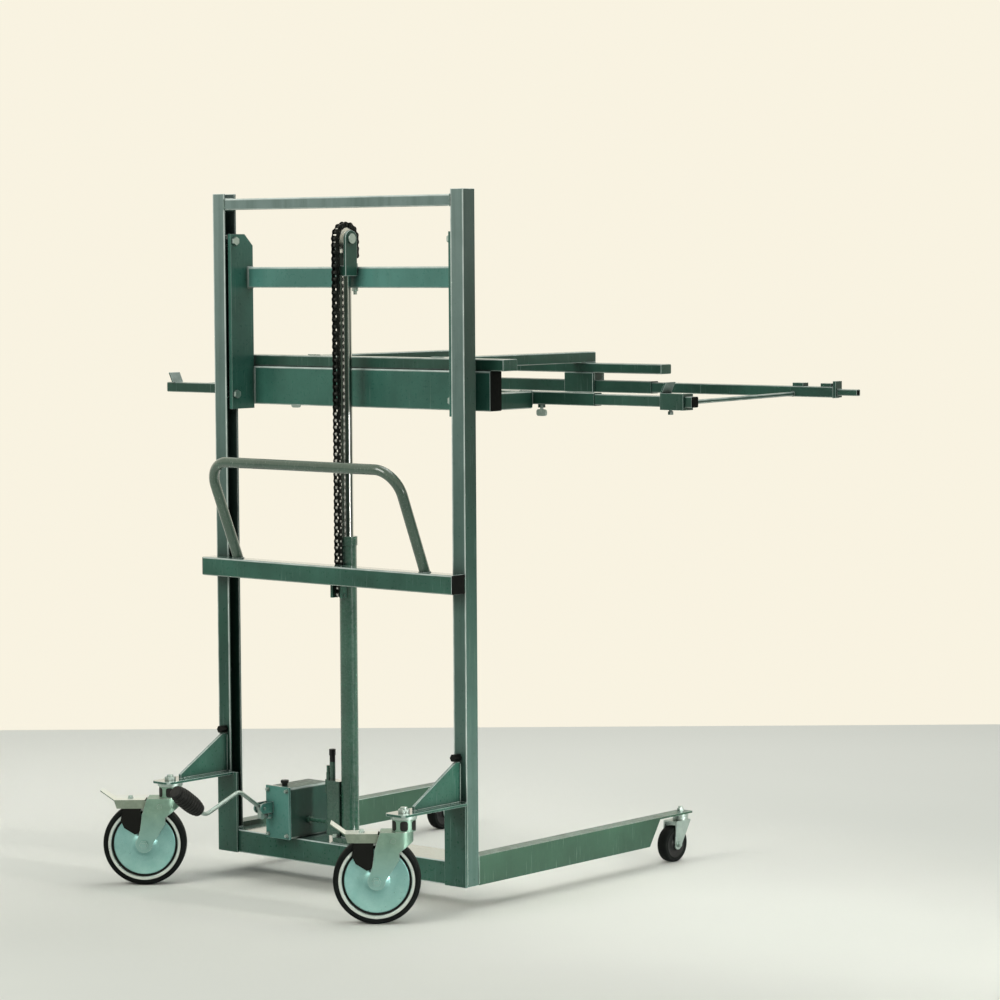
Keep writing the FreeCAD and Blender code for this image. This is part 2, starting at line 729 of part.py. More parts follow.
def make_platform():
    low_z = lower_beam_top_z
    back_half = lower_beam_half + back_beam_overhang
    back = tube(V(1, 0, 0), -back_half, back_half, back_beam_front_y - back_beam_depth, back_beam_front_y,
                low_z, platform_top_z, tube_wall)
    front_half = far_sleeve_half + front_beam_overhang
    front_beam_y = far_bar_y + front_beam_depth / 2
    front = tube(V(1, 0, 0), -front_half, front_half, front_beam_y - front_beam_depth, front_beam_y,
                 front_beam_low_z, low_z, tube_wall)
    save("platform_beams", [back, front])
    arm_in = fork_spacing / 2 - fork_width / 2
    arm_out = fork_spacing / 2 + fork_width / 2
    arm = tube(V(0, 1, 0), arm_in, arm_out, back_beam_front_y, front_beam_y, low_z, platform_top_z, tube_wall)
    save("fork_arms", both_sides(arm))

    half = sleeve_size / 2
    sleeves = []
    rows = ((near_bar_y, near_bar_z, near_sleeve_half), (far_bar_y, far_bar_z, far_sleeve_half))
    for y, z, reach in rows:
        sleeves.append(tube(V(1, 0, 0), -reach, reach, y - half, y + half, z - half, z + half, sleeve_wall))
    screw_x = near_sleeve_half - clamp_screw_inset
    tap = rod(V(screw_x, near_bar_y, near_bar_z - sleeve_size), V(screw_x, near_bar_y, near_bar_z),
              clamp_screw_radius + running_clearance)
    collar = ring(V(screw_x, near_bar_y, near_bar_z - half - clamp_collar),
                  V(screw_x, near_bar_y, near_bar_z - half), 2.2 * clamp_screw_radius,
                  clamp_screw_radius + running_clearance)
    near = sleeves[0]
    for one in both_sides(tap):
        near = near.cut(one)
    near = fuse([near] + both_sides(collar))
    save("slide_sleeves", [near, sleeves[1]])

    bracket = box(near_bracket_x - bracket_width / 2, near_bracket_x + bracket_width / 2, lower_beam_front_y,
                  near_bar_y - half, lower_beam_low_z, near_bar_z + half)
    bracket = round_edges(bracket, V(0, 1, 0), tube_corner)
    hanger_x0 = fork_spacing / 2 - hanger_length / 2
    hanger_x1 = fork_spacing / 2 + hanger_length / 2
    sleeve_y0 = far_bar_y - half
    sleeve_y1 = far_bar_y + half
    hanger = [box(hanger_x0, hanger_x1, sleeve_y0, sleeve_y1, far_bar_z + half, front_beam_low_z)]
    for y in (sleeve_y0 - hanger_cheek, sleeve_y1):
        hanger.append(box(hanger_x0, hanger_x1, y, y + hanger_cheek, far_bar_z - half, front_beam_low_z))
    brackets = both_sides(bracket)
    for plate in hanger:
        brackets += both_sides(plate)
    save("sleeve_brackets", brackets)


def stop_plate(x, z):
    """A short plate across the near bar that leans outward and keeps the load from sliding off."""
    lean = stop_plate_height / 2
    side = [(x, z), (x + stop_plate_thickness, z), (x + stop_plate_thickness + lean, z + stop_plate_height),
            (x + lean, z + stop_plate_height)]
    return prism_xz(side, near_bar_y - stop_plate_depth / 2, near_bar_y + stop_plate_depth / 2)


def make_slides():
    half = slide_tube / 2
    near = tube(V(1, 0, 0), near_slide_root, near_slide_end, near_bar_y - half, near_bar_y + half,
                near_bar_z - half, near_bar_z + half, slide_tube_wall)
    far = tube(V(1, 0, 0), far_slide_root, far_slide_end, far_bar_y - half, far_bar_y + half,
               far_bar_z - half, far_bar_z + half, slide_tube_wall)
    tip_half = far_tip_size / 2
    stop_x = far_slide_end + far_stop_thickness
    stop = box(far_slide_end, stop_x, far_bar_y - far_stop_depth / 2, far_bar_y + far_stop_depth / 2,
               far_bar_z - half, far_bar_z + far_stop_rise)
    tip = tube(V(1, 0, 0), stop_x, far_tip_end, far_bar_y - tip_half, far_bar_y + tip_half,
               far_bar_z - tip_half, far_bar_z + tip_half, slide_tube_wall)
    pads = []
    for inset in (rest_pad_inset, rest_pad_inset + rest_pad_pitch):
        x1 = far_slide_end - inset
        pads.append(box(x1 - rest_pad_length, x1, far_bar_y - rest_pad_depth / 2,
                        far_bar_y + rest_pad_depth / 2, far_bar_z + half, far_bar_z + half + rest_pad_height))

    rod_x = near_slide_end - tie_rod_inset
    tie_z = far_bar_z - tie_rod_drop
    tie = rod(V(rod_x, near_bar_y + half, near_bar_z), V(rod_x, far_bar_y - half, tie_z), tie_rod_radius)
    common = [near, far, stop, tip, tie] + pads
    left_stop_x = near_slide_end - stop_plate_inset
    left = common + [stop_plate(left_stop_x, near_bar_z + half)]
    save("left_slide_frame", [mirrored(shape) for shape in left])

    collar_end = rod_x - 2 * tie_rod_radius
    collar_x = collar_end - end_collar_length
    wrap = half + end_collar_wall
    low_z = near_bar_z - wrap
    collar = box(collar_x, collar_end, near_bar_y - wrap, near_bar_y + wrap, low_z, near_bar_z + wrap)
    collar = collar.cut(box(collar_x - 1, collar_end + 1, near_bar_y - half, near_bar_y + half,
                            near_bar_z - half, near_bar_z + half))
    screw_x = collar_x + end_collar_length / 4
    neck = V(screw_x, near_bar_y, low_z - end_collar_wall / 2)
    screw = fuse([rod(neck, V(screw_x, near_bar_y, low_z), clamp_screw_radius),
                  hex_nut(neck - V(0, 0, nut_height), neck, 3 * clamp_screw_radius)])
    plate = stop_plate(collar_x, near_bar_z + wrap)
    save("right_slide_frame", common + [collar, screw, plate])

    clamp_x = near_sleeve_half - clamp_screw_inset
    top_z = near_bar_z - half - slide_gap
    collar_z = near_bar_z - sleeve_size / 2 - clamp_collar
    stem = rod(V(clamp_x, near_bar_y, collar_z - clamp_stem_drop), V(clamp_x, near_bar_y, top_z),
               clamp_screw_radius)
    wing_top = collar_z - clamp_wing_gap
    wing = box(clamp_x - clamp_wing_width / 2, clamp_x + clamp_wing_width / 2,
               near_bar_y - clamp_wing_thickness / 2, near_bar_y + clamp_wing_thickness / 2,
               wing_top - clamp_wing_height, wing_top)
    wing = round_edges(wing, V(0, 1, 0), clamp_wing_corner)
    save_sides("clamp_screw", [fuse([stem, wing])])


def lever_points():
    pivot_y = tank_back_y - pump_plate - lever_pivot_reach
    pivot_z = tray_top_z + lever_pivot_rise
    points = [V(lever_x, pivot_y, pivot_z)]
    for reach, rise in ((lever_hump_reach, lever_hump_rise), (lever_dip_reach, lever_dip_rise),
                        (lever_end_reach, lever_end_rise)):
        points.append(V(lever_x, pivot_y - reach, pivot_z + rise))
    return points


def make_pump():
    left = tank_x - tank_width / 2
    right = tank_x + tank_width / 2
    top_z = tray_top_z + tank_height
    pivot = lever_points()[0]
    barrel_z = pivot.z - lever_lobe_drop
    barrel_start = V(lever_x, tank_back_y - pump_plate - pump_barrel_nose, barrel_z)
    barrel_end = V(lever_x, tank_back_y + pump_barrel_depth, barrel_z)
    front_y = tank_back_y + tank_length
    tank = box(left, right, tank_back_y, front_y, tray_top_z, top_z)
    tank = round_edges(tank, V(0, 1, 0), tank_corner)
    hollow = box(left + tank_wall, right - tank_wall, tank_back_y + tank_wall, front_y - tank_wall,
                 tray_top_z + tank_wall, top_z - tank_wall)
    tank = tank.cut(hollow).cut(rod(barrel_start, barrel_end, pump_barrel_radius + running_clearance))
    foot = box(left - tank_foot_width, left + tank_wall, front_y - 2 * tank_length / 3, front_y, tray_top_z,
               tray_top_z + tank_foot_thickness)
    save("oil_tank", [fuse([tank, foot])])

    plate = box(left, right, tank_back_y - pump_plate, tank_back_y, tray_top_z, top_z + 2)
    barrel = rod(barrel_start, barrel_end, pump_barrel_radius)
    ears = []
    for side in (-1, 1):
        ends = sorted((side * (lever_hub_width / 2 + 1), side * (lever_hub_width / 2 + 1 + lever_ear)))
        ear = box(lever_x + ends[0], lever_x + ends[1], pivot.y, tank_back_y - pump_plate,
                  pivot.z - lever_ear_height / 2, pivot.z + lever_ear_height / 2)
        nose = rod(V(lever_x + ends[0], pivot.y, pivot.z), V(lever_x + ends[1], pivot.y, pivot.z),
                   lever_ear_height / 2)
        ears += [ear, nose]
    bore_end = barrel_end - V(0, pump_plate, 0)
    bore = rod(barrel_start - V(0, 1, 0), bore_end, plunger_radius + running_clearance)
    hole = rod(pivot - V(tank_width, 0, 0), pivot + V(tank_width, 0, 0), lever_pin_radius + running_clearance)
    save("pump_block", [fuse([plate, barrel] + ears).cut(bore).cut(hole)])

    plunger_y = pivot.y + lever_lobe_radius + part_clearance
    plunger = rod(V(lever_x, plunger_y, barrel_z), V(lever_x, tank_back_y + pump_barrel_depth / 2, barrel_z),
                  plunger_radius)
    save("pump_plunger", [plunger])
    cap_at = V(tank_x, tank_back_y + 2 * filler_radius, top_z)
    neck = rod(cap_at, cap_at + V(0, 0, filler_height / 2), filler_radius * 0.7)
    cap = hex_nut(cap_at + V(0, 0, filler_height / 2), cap_at + V(0, 0, filler_height), 1.8 * filler_radius)
    save("filler_cap", [fuse([neck, cap])])


def make_lever():
    points = lever_points()
    pivot = points[0]
    path = bent_path(points, lever_bend)
    half = V(lever_hub_width / 2, 0, 0)
    hub = rod(pivot - half, pivot + half, lever_hub_radius)
    lobe_at = pivot - V(0, 0, lever_lobe_drop)
    lobe = rod(lobe_at - half * 0.8, lobe_at + half * 0.8, lever_lobe_radius)
    web = box(lever_x - lever_hub_width * 0.4, lever_x + lever_hub_width * 0.4, pivot.y - lever_lobe_radius,
              pivot.y + lever_lobe_radius, lobe_at.z, pivot.z)
    bore = rod(pivot - half * 1.1, pivot + half * 1.1, lever_pin_radius + running_clearance)
    arm = sweep_round(path, lever_rod_radius)
    save("pump_lever", [fuse([arm, hub, lobe, web]).cut(bore)])

    way = (points[3] - points[2]).normalize()
    end = points[3] + way * 4
    start = end - way * grip_length
    step = grip_length / (2 * grip_ribs)
    low = grip_radius * 0.9
    profile = [V(0, 0, 0), V(grip_radius * 0.7, 0, 0)]
    for rib in range(grip_ribs):
        base = 2 * rib * step
        bulge = 1 - 0.25 * abs(2 * rib / (grip_ribs - 1) - 1) ** 3
        for reach, rise in ((grip_radius, 0.5), (grip_radius, 1.3), (low, 1.5), (low, 2)):
            profile.append(V(reach * bulge, 0, base + rise * step))
    profile += [V(grip_radius * 0.55, 0, grip_length), V(0, 0, grip_length)]
    grip = Part.Face(Part.makePolygon(profile + profile[:1])).revolve(V(0, 0, 0), V(0, 0, 1), 360)
    grip.Placement = FreeCAD.Placement(start, FreeCAD.Rotation(V(0, 0, 1), way))
    socket = rod(start - way * 5, points[3], lever_rod_radius + running_clearance)
    save("pedal_grip", [grip.cut(socket)])


def make_valve():
    """A block on the cylinder foot that carries the lowering valve's stem, a relief plug and the oil pipe."""
    right = -cylinder_radius - 2 * running_clearance
    left = right - valve_block_width
    low_z = tray_top_z + cylinder_floor
    block_top = low_z + valve_block_height
    block = box(left, right, ram_y - valve_block_depth / 2, ram_y + valve_block_depth / 2, low_z, block_top)
    block = round_edges(block, V(0, 0, 1), tube_corner)
    stem_foot = V(left + valve_stem_inset, ram_y, block_top)
    top = stem_foot + V(0, 0, valve_stem_height)
    spindle_low = top - V(0, 0, valve_spindle_depth)
    plug_foot = V(left - relief_plug_radius, ram_y, block_top)
    plug_neck = plug_foot + V(0, 0, relief_plug_height / 2)
    boss = box(left - 2 * relief_plug_radius, left + tube_corner, ram_y - relief_plug_radius,
               ram_y + relief_plug_radius, block_top - relief_plug_height, block_top)
    plug = fuse([rod(plug_foot, plug_neck, relief_plug_radius),
                 hex_nut(plug_neck, plug_foot + V(0, 0, relief_plug_height), 1.5 * relief_plug_radius)])
    body = fuse([block, boss, plug, rod(stem_foot, top, valve_stem_radius)])
    spindle_hole = rod(spindle_low, top + V(0, 0, 1), valve_spindle_radius + running_clearance)
    save("valve_body", [body.cut(spindle_hole)])

    knob_low = top + V(0, 0, part_clearance)
    waist = knob_low + V(0, 0, valve_knob_height / 2)
    knob_top = knob_low + V(0, 0, valve_knob_height)
    stem = rod(spindle_low + V(0, 0, part_clearance), knob_low, valve_spindle_radius)
    lower = rod(knob_low, waist, valve_knob_radius * 0.8)
    upper = hex_nut(waist, knob_top, 1.7 * valve_knob_radius)
    save("valve_knob", [fuse([stem, lower, upper])])

    pipe_start = V(tank_x + tank_width / 2, ram_y, tray_top_z + oil_pipe_rise)
    pipe_end = V(left, ram_y, tray_top_z + oil_pipe_rise)
    nut_way = V(nut_height, 0, 0)
    pipe = fuse([rod(pipe_start, pipe_end, oil_pipe_radius),
                 hex_nut(pipe_start, pipe_start + nut_way, 3.4 * oil_pipe_radius),
                 hex_nut(pipe_end - nut_way, pipe_end, 3.4 * oil_pipe_radius)])
    save("oil_pipes", [pipe])


def king_pin(at, radius, low_z, plate_low_z, plate_top_z):
    """A pin hung in the plate, with a head under the crown and a nut on top."""
    shank = rod(V(at.x, at.y, low_z), V(at.x, at.y, plate_top_z + 1.6 * nut_height), radius)
    head = rod(V(at.x, at.y, low_z - 5), V(at.x, at.y, low_z), radius * 1.5)
    nut = hex_nut(V(at.x, at.y, plate_top_z), V(at.x, at.y, plate_top_z + nut_height), 3 * radius)
    return fuse([shank, head, nut])


def make_swivel_heads():
    rear_at = V(rear_caster_x, rear_caster_y, 0)
    front_at = V(upright_x, front_caster_y, 0)
    front_low = leg_top_z - leg_tip_thickness
    heads = []
    rows = ((rear_at, rear_king_pin, rear_race_radius, rear_race_height,
             rear_housing_height + rear_crown_height, arm_low_z, arm_top_z),
            (front_at, front_king_pin, front_race_radius, front_race_height,
             front_housing_height + front_crown_height, front_low, leg_top_z))
    for at, pin, radius, height, fork_top, low_z, top_z in rows:
        race_low = low_z - height
        race = ring(V(at.x, at.y, race_low), V(at.x, at.y, low_z), radius, pin + running_clearance)
        head_z = race_low - fork_top - 3 * part_clearance
        heads += both_sides(race) + both_sides(king_pin(at, pin, head_z, low_z, top_z))
    save("swivel_heads", heads)


def tyre_ring(start, end, outer, inner, rounding):
    """A ring with its two tread edges rounded."""
    tyre = ring(start, end, outer, inner)
    tread = []
    for edge in tyre.Edges:
        if isinstance(edge.Curve, Part.Circle) and edge.Curve.Radius > (outer + inner) / 2:
            tread.append(edge)
    return tyre.makeFillet(rounding, tread)


def make_rear_casters():
    """Built about the king pin with the wheel trailing along -X, then turned and carried to each side."""
    axle_x = -rear_trail
    radius = rear_wheel_radius
    housing_top = arm_low_z - rear_race_height - part_clearance
    crown_top = housing_top - rear_housing_height
    crown_low = crown_top - rear_crown_height
    half_gap = rear_fork_gap / 2
    half_out = half_gap + rear_fork_plate
    tail_x = axle_x + rear_crown_tail
    crown = box(tail_x, rear_nose_x, -half_out, half_out, crown_low, crown_top)
    crown_nose = rod(V(rear_nose_x, 0, crown_low), V(rear_nose_x, 0, crown_top), half_out)
    housing = rod(V(0, 0, crown_top), V(0, 0, housing_top), rear_housing_radius)

    nose_end = rear_nose_x + half_out
    nose_high = crown_top - rear_nose_drop
    nose_low = nose_high - rear_nose_slope
    nose = ring(V(rear_nose_x, 0, nose_low), V(rear_nose_x, 0, crown_top), half_out, half_gap)
    nose = nose.cut(box(rear_nose_x - half_out, rear_nose_x, -half_out, half_out, nose_low, crown_top))
    under = [(rear_nose_x, nose_low), (nose_end, nose_high), (nose_end + 1, nose_high),
             (nose_end + 1, nose_low - 1), (rear_nose_x, nose_low - 1)]
    nose = nose.cut(prism_xz(under, -half_out - 1, half_out + 1))

    boss = rear_fork_boss
    rise = crown_top - radius
    side = [(rear_nose_x, crown_top), (tail_x, crown_top), (axle_x - 0.2 * boss, radius + 0.65 * rise),
            (axle_x - 0.45 * boss, radius + 0.32 * rise), (axle_x - boss, radius),
            (axle_x, radius - 0.2 * boss), (axle_x + boss, radius), (rear_nose_x, radius + 0.45 * rise)]
    axle_start = V(axle_x, -half_out - 1.5 * nut_height, radius)
    axle_end = V(axle_x, half_out + 1.5 * nut_height, radius)
    pedal_z = 2 * radius + pedal_gap
    pivot_z = pedal_z - pedal_pivot_drop
    pivot_hole = rod(V(pedal_pivot_x, -half_out, pivot_z), V(pedal_pivot_x, half_out, pivot_z),
                     pedal_pin_radius + running_clearance)
    pieces = [crown, crown_nose, housing, nose]
    stubs = []
    for out in (-1, 1):
        ends = sorted((out * half_gap, out * half_out))
        pieces.append(prism_xz(side, ends[0], ends[1]))
        pieces.append(rod(V(axle_x, ends[0], radius), V(axle_x, ends[1], radius), boss))
        stub_in = V(pedal_pivot_x, out * (half_gap - pedal_side_gap - 1.2 * pedal_wall), pivot_z)
        stub_out = V(pedal_pivot_x, out * half_out, pivot_z)
        head = rod(stub_out, stub_out + V(0, out * pedal_wall, 0), 1.5 * pedal_pin_radius)
        stubs.append(fuse([rod(stub_in, stub_out, pedal_pin_radius), head]))
    king_hole = rod(V(0, 0, crown_low - 1), V(0, 0, housing_top + 1), rear_king_pin + running_clearance)
    axle_hole = rod(axle_start, axle_end, rear_axle_radius + running_clearance)
    fork = fuse(pieces).cut(king_hole).cut(axle_hole).cut(pivot_hole)
    axle = rod(axle_start, axle_end, rear_axle_radius)
    nuts = []
    for low, high in ((half_out, half_out + nut_height), (-half_out - nut_height, -half_out)):
        nuts.append(hex_nut(V(axle_x, low, radius), V(axle_x, high, radius), 3 * rear_axle_radius))

    hub_centre = V(axle_x, 0, radius)
    half_tyre = V(0, rear_tyre_width / 2, 0)
    rim_radius = radius - rear_tyre_depth
    tyre = tyre_ring(hub_centre - half_tyre, hub_centre + half_tyre, radius, rim_radius,
                     0.6 * rear_tyre_depth)
    half_rim = half_tyre * 0.9
    rim = ring(hub_centre - half_rim, hub_centre + half_rim, rim_radius, rim_radius - rear_rim_depth)
    half_web = V(0, rear_web / 2, 0)
    webs = []
    for offset in (-half_rim * 0.7, half_rim * 0.7):
        webs.append(rod(hub_centre + offset - half_web, hub_centre + offset + half_web, rim_radius - 0.5))
    half_hub = V(0, half_gap - 1, 0)
    hub = rod(hub_centre - half_hub, hub_centre + half_hub, rear_hub_radius)
    disc = fuse([rim, hub] + webs).cut(axle_hole)

    pedal_end = axle_x - pedal_reach
    flange_out = half_gap - pedal_side_gap
    flange_in = flange_out - pedal_wall
    low_z = pedal_z - pedal_flange
    top = box(pedal_end, tail_x - pedal_gap, -flange_out, flange_out, pedal_z, pedal_z + pedal_plate)
    tip_end = pedal_end - pedal_tip
    tip_profile = [(pedal_end, pedal_z), (pedal_end, pedal_z + pedal_plate),
                   (tip_end, pedal_z + pedal_plate + pedal_tip_rise), (tip_end, pedal_z + pedal_tip_rise)]
    tip = prism_xz(tip_profile, -flange_in, flange_in)
    back = brake_arm_back
    drop = brake_arm_drop
    eye = 2 * pedal_pin_radius
    arm_x = axle_x - brake_arm_front
    flange_profile = [(pedal_end, pedal_z), (pedal_end + 2 * pedal_plate, low_z),
                      (axle_x - 0.9 * back, low_z),
                      (axle_x - back, low_z - 0.45 * drop), (axle_x - 0.85 * back, low_z - 0.75 * drop),
                      (axle_x - 0.4 * back, low_z - drop), (arm_x, low_z - 0.9 * drop), (arm_x, low_z),
                      (pedal_pivot_x, pivot_z - eye), (pedal_pivot_x + eye, pivot_z),
                      (pedal_pivot_x, pivot_z + eye), (tail_x - pedal_gap, pedal_z)]
    sides = [prism_xz(flange_profile, y0, y0 + pedal_wall) for y0 in (flange_in, -flange_out)]
    pedal = fuse([top, tip] + sides).cut(pivot_hole)

    nodes = {"rear_fork": [fork, axle] + stubs + nuts, "rear_tyre": [tyre], "rear_wheel_disc": [disc],
             "rear_brake_pedal": [pedal]}
    turn = FreeCAD.Rotation(V(0, 0, 1), rear_turn)
    for name, shapes in nodes.items():
        for side_name, x in (("right_", rear_caster_x), ("left_", -rear_caster_x)):
            placed = []
            for shape in shapes:
                piece = shape.copy()
                piece.Placement = FreeCAD.Placement(V(x, rear_caster_y, 0), turn).multiply(shape.Placement)
                placed.append(piece)
            save(side_name + name, placed)


def make_front_casters():
    x = upright_x
    axle_y = front_caster_y - front_trail
    radius = front_wheel_radius
    race_top = leg_top_z - leg_tip_thickness - front_race_height - part_clearance
    race_low = race_top - front_housing_height
    crown_low = race_low - front_crown_height
    half_gap = front_fork_gap / 2
    half_out = half_gap + front_fork_plate
    boss = front_fork_boss
    tail_y = axle_y - 0.6 * boss
    nose_y = front_caster_y + 0.75 * front_race_radius
    crown = box(x - half_out, x + half_out, tail_y, nose_y, crown_low, race_low)
    race = rod(V(x, front_caster_y, race_low), V(x, front_caster_y, race_top), front_race_radius - 1)
    side = [(nose_y, race_low), (tail_y, race_low), (axle_y - boss, radius), (axle_y, radius - 0.8 * boss),
            (axle_y + boss, radius - 0.3 * boss), (nose_y, crown_low)]
    pieces = [crown, race]
    for x0 in (x - half_out, x + half_gap):
        pieces.append(prism_yz(side, x0, x0 + front_fork_plate))
        pieces.append(rod(V(x0, axle_y, radius), V(x0 + front_fork_plate, axle_y, radius), boss))
    start = V(x - half_out - nut_height, axle_y, radius)
    end = V(x + half_out + nut_height, axle_y, radius)
    fork = fuse(pieces).cut(rod(start, end, front_axle_radius + running_clearance))
    fork = fork.cut(rod(V(x, front_caster_y, crown_low - 1), V(x, front_caster_y, race_top + 1),
                        front_king_pin + running_clearance))
    axle = rod(start, end, front_axle_radius)
    nuts = [hex_nut(start + V(1, 0, 0), V(x - half_out, axle_y, radius), 3 * front_axle_radius),
            hex_nut(V(x + half_out, axle_y, radius), end - V(1, 0, 0), 3 * front_axle_radius)]
    save_sides("front_fork", [fork, axle] + nuts)

    centre = V(x, axle_y, radius)
    half = V(front_wheel_width / 2, 0, 0)
    rim = radius - front_tyre_depth
    tyre = tyre_ring(centre - half, centre + half, radius, rim, 0.5 * front_tyre_depth)
    hub_half = V(half_gap - 1, 0, 0)
    web = rod(centre - half * 0.7, centre + half * 0.7, rim)
    hub = rod(centre - hub_half, centre + hub_half, 2.2 * front_axle_radius)
    hub = fuse([web, hub]).cut(rod(start, end, front_axle_radius + running_clearance))
    save_sides("front_wheel", [tyre, hub])


def make_fasteners():
    """Knobs above the gussets, the lever pin, and the bolts that hold pump and cylinder to the tray."""
    pieces = []
    knob_z = arm_top_z + gusset_height + 1.2 * knob_radius
    knob = hex_nut(V(rear_caster_x, -half_depth - knob_length, knob_z), V(rear_caster_x, -half_depth, knob_z),
                   1.8 * knob_radius)
    pieces += both_sides(knob)
    pivot = lever_points()[0]
    reach = V(lever_hub_width / 2 + lever_ear + 4, 0, 0)
    pieces.append(rod(pivot - reach, pivot + reach, lever_pin_radius))
    bolt = 6.0
    tank_left = tank_x - tank_width / 2
    for y in (tank_back_y + tank_length / 2, tank_back_y + tank_length - 2 * bolt):
        at = V(tank_left - tank_foot_width / 2, y, tray_top_z + tank_foot_thickness)
        pieces.append(hex_nut(at, at + V(0, 0, nut_height), 2 * bolt))
    save("frame_fasteners", pieces)


make_mast()
make_base()
make_caster_arms()
make_handle()
make_cylinder()
make_clevis()
make_sprocket()
make_chain()
make_chain_anchor()
make_carriage()
make_platform()
make_slides()
make_pump()
make_lever()
make_valve()
make_swivel_heads()
make_rear_casters()
make_front_casters()
make_fasteners()
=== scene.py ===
"""Hydraulic lift truck with a raised fork carriage: materials, fine detail, light and camera, in metres."""
import bpy
import bmesh
import math
import random
from mathutils import Matrix, Vector


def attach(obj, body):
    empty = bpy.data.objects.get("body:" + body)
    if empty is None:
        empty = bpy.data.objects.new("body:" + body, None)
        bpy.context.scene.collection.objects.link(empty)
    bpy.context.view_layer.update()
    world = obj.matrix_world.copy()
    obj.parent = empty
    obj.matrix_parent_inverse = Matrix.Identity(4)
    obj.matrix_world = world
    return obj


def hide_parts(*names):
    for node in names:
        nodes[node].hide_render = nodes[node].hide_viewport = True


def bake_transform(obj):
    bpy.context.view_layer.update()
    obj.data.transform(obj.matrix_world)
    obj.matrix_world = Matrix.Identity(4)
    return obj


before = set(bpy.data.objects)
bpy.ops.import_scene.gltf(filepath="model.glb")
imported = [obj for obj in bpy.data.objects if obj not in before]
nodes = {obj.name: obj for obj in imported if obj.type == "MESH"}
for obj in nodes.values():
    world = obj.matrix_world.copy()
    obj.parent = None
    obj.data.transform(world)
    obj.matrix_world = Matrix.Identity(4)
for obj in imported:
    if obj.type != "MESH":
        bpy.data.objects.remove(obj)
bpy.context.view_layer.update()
scene = bpy.context.scene
random.seed(7)

X, Y, Z = 0, 1, 2
RIGHT, AHEAD, BACK, UP = (1, 0, 0), (0, 1, 0), (0, -1, 0), (0, 0, 1)
SIDES = (("left", -1), ("right", 1))

# Places and sizes of the CAD model that the added detail sits on.
MAST_X = 0.384
RAM_Y = 0.018
SPROCKET_Z = 1.55
PITCH = 0.015875
TEETH = 13
WRAP_RADIUS = PITCH / (2 * math.sin(math.pi / TEETH))
DEAD_LINKS = 53
WRAP_LINKS = 7
LIVE_LINKS = 2
TRAVEL_LINKS = 26
REAR_X, REAR_Y, REAR_AXLE_Z = 0.380, -0.210, 0.1
REAR_TURN = math.radians(40.5)
REAR_TRAIL = 0.062
FRONT_AXLE_Y, FRONT_AXLE_Z = 0.778, 0.045

# The camera that was fitted to the photograph's straight edges.
EYE = (5.3995, -5.7358, 1.504)
YAW, TILT, ROLL = math.radians(40.55), math.radians(4.17), math.radians(-0.34)
SENSOR, LENS = 36.0, 119.84


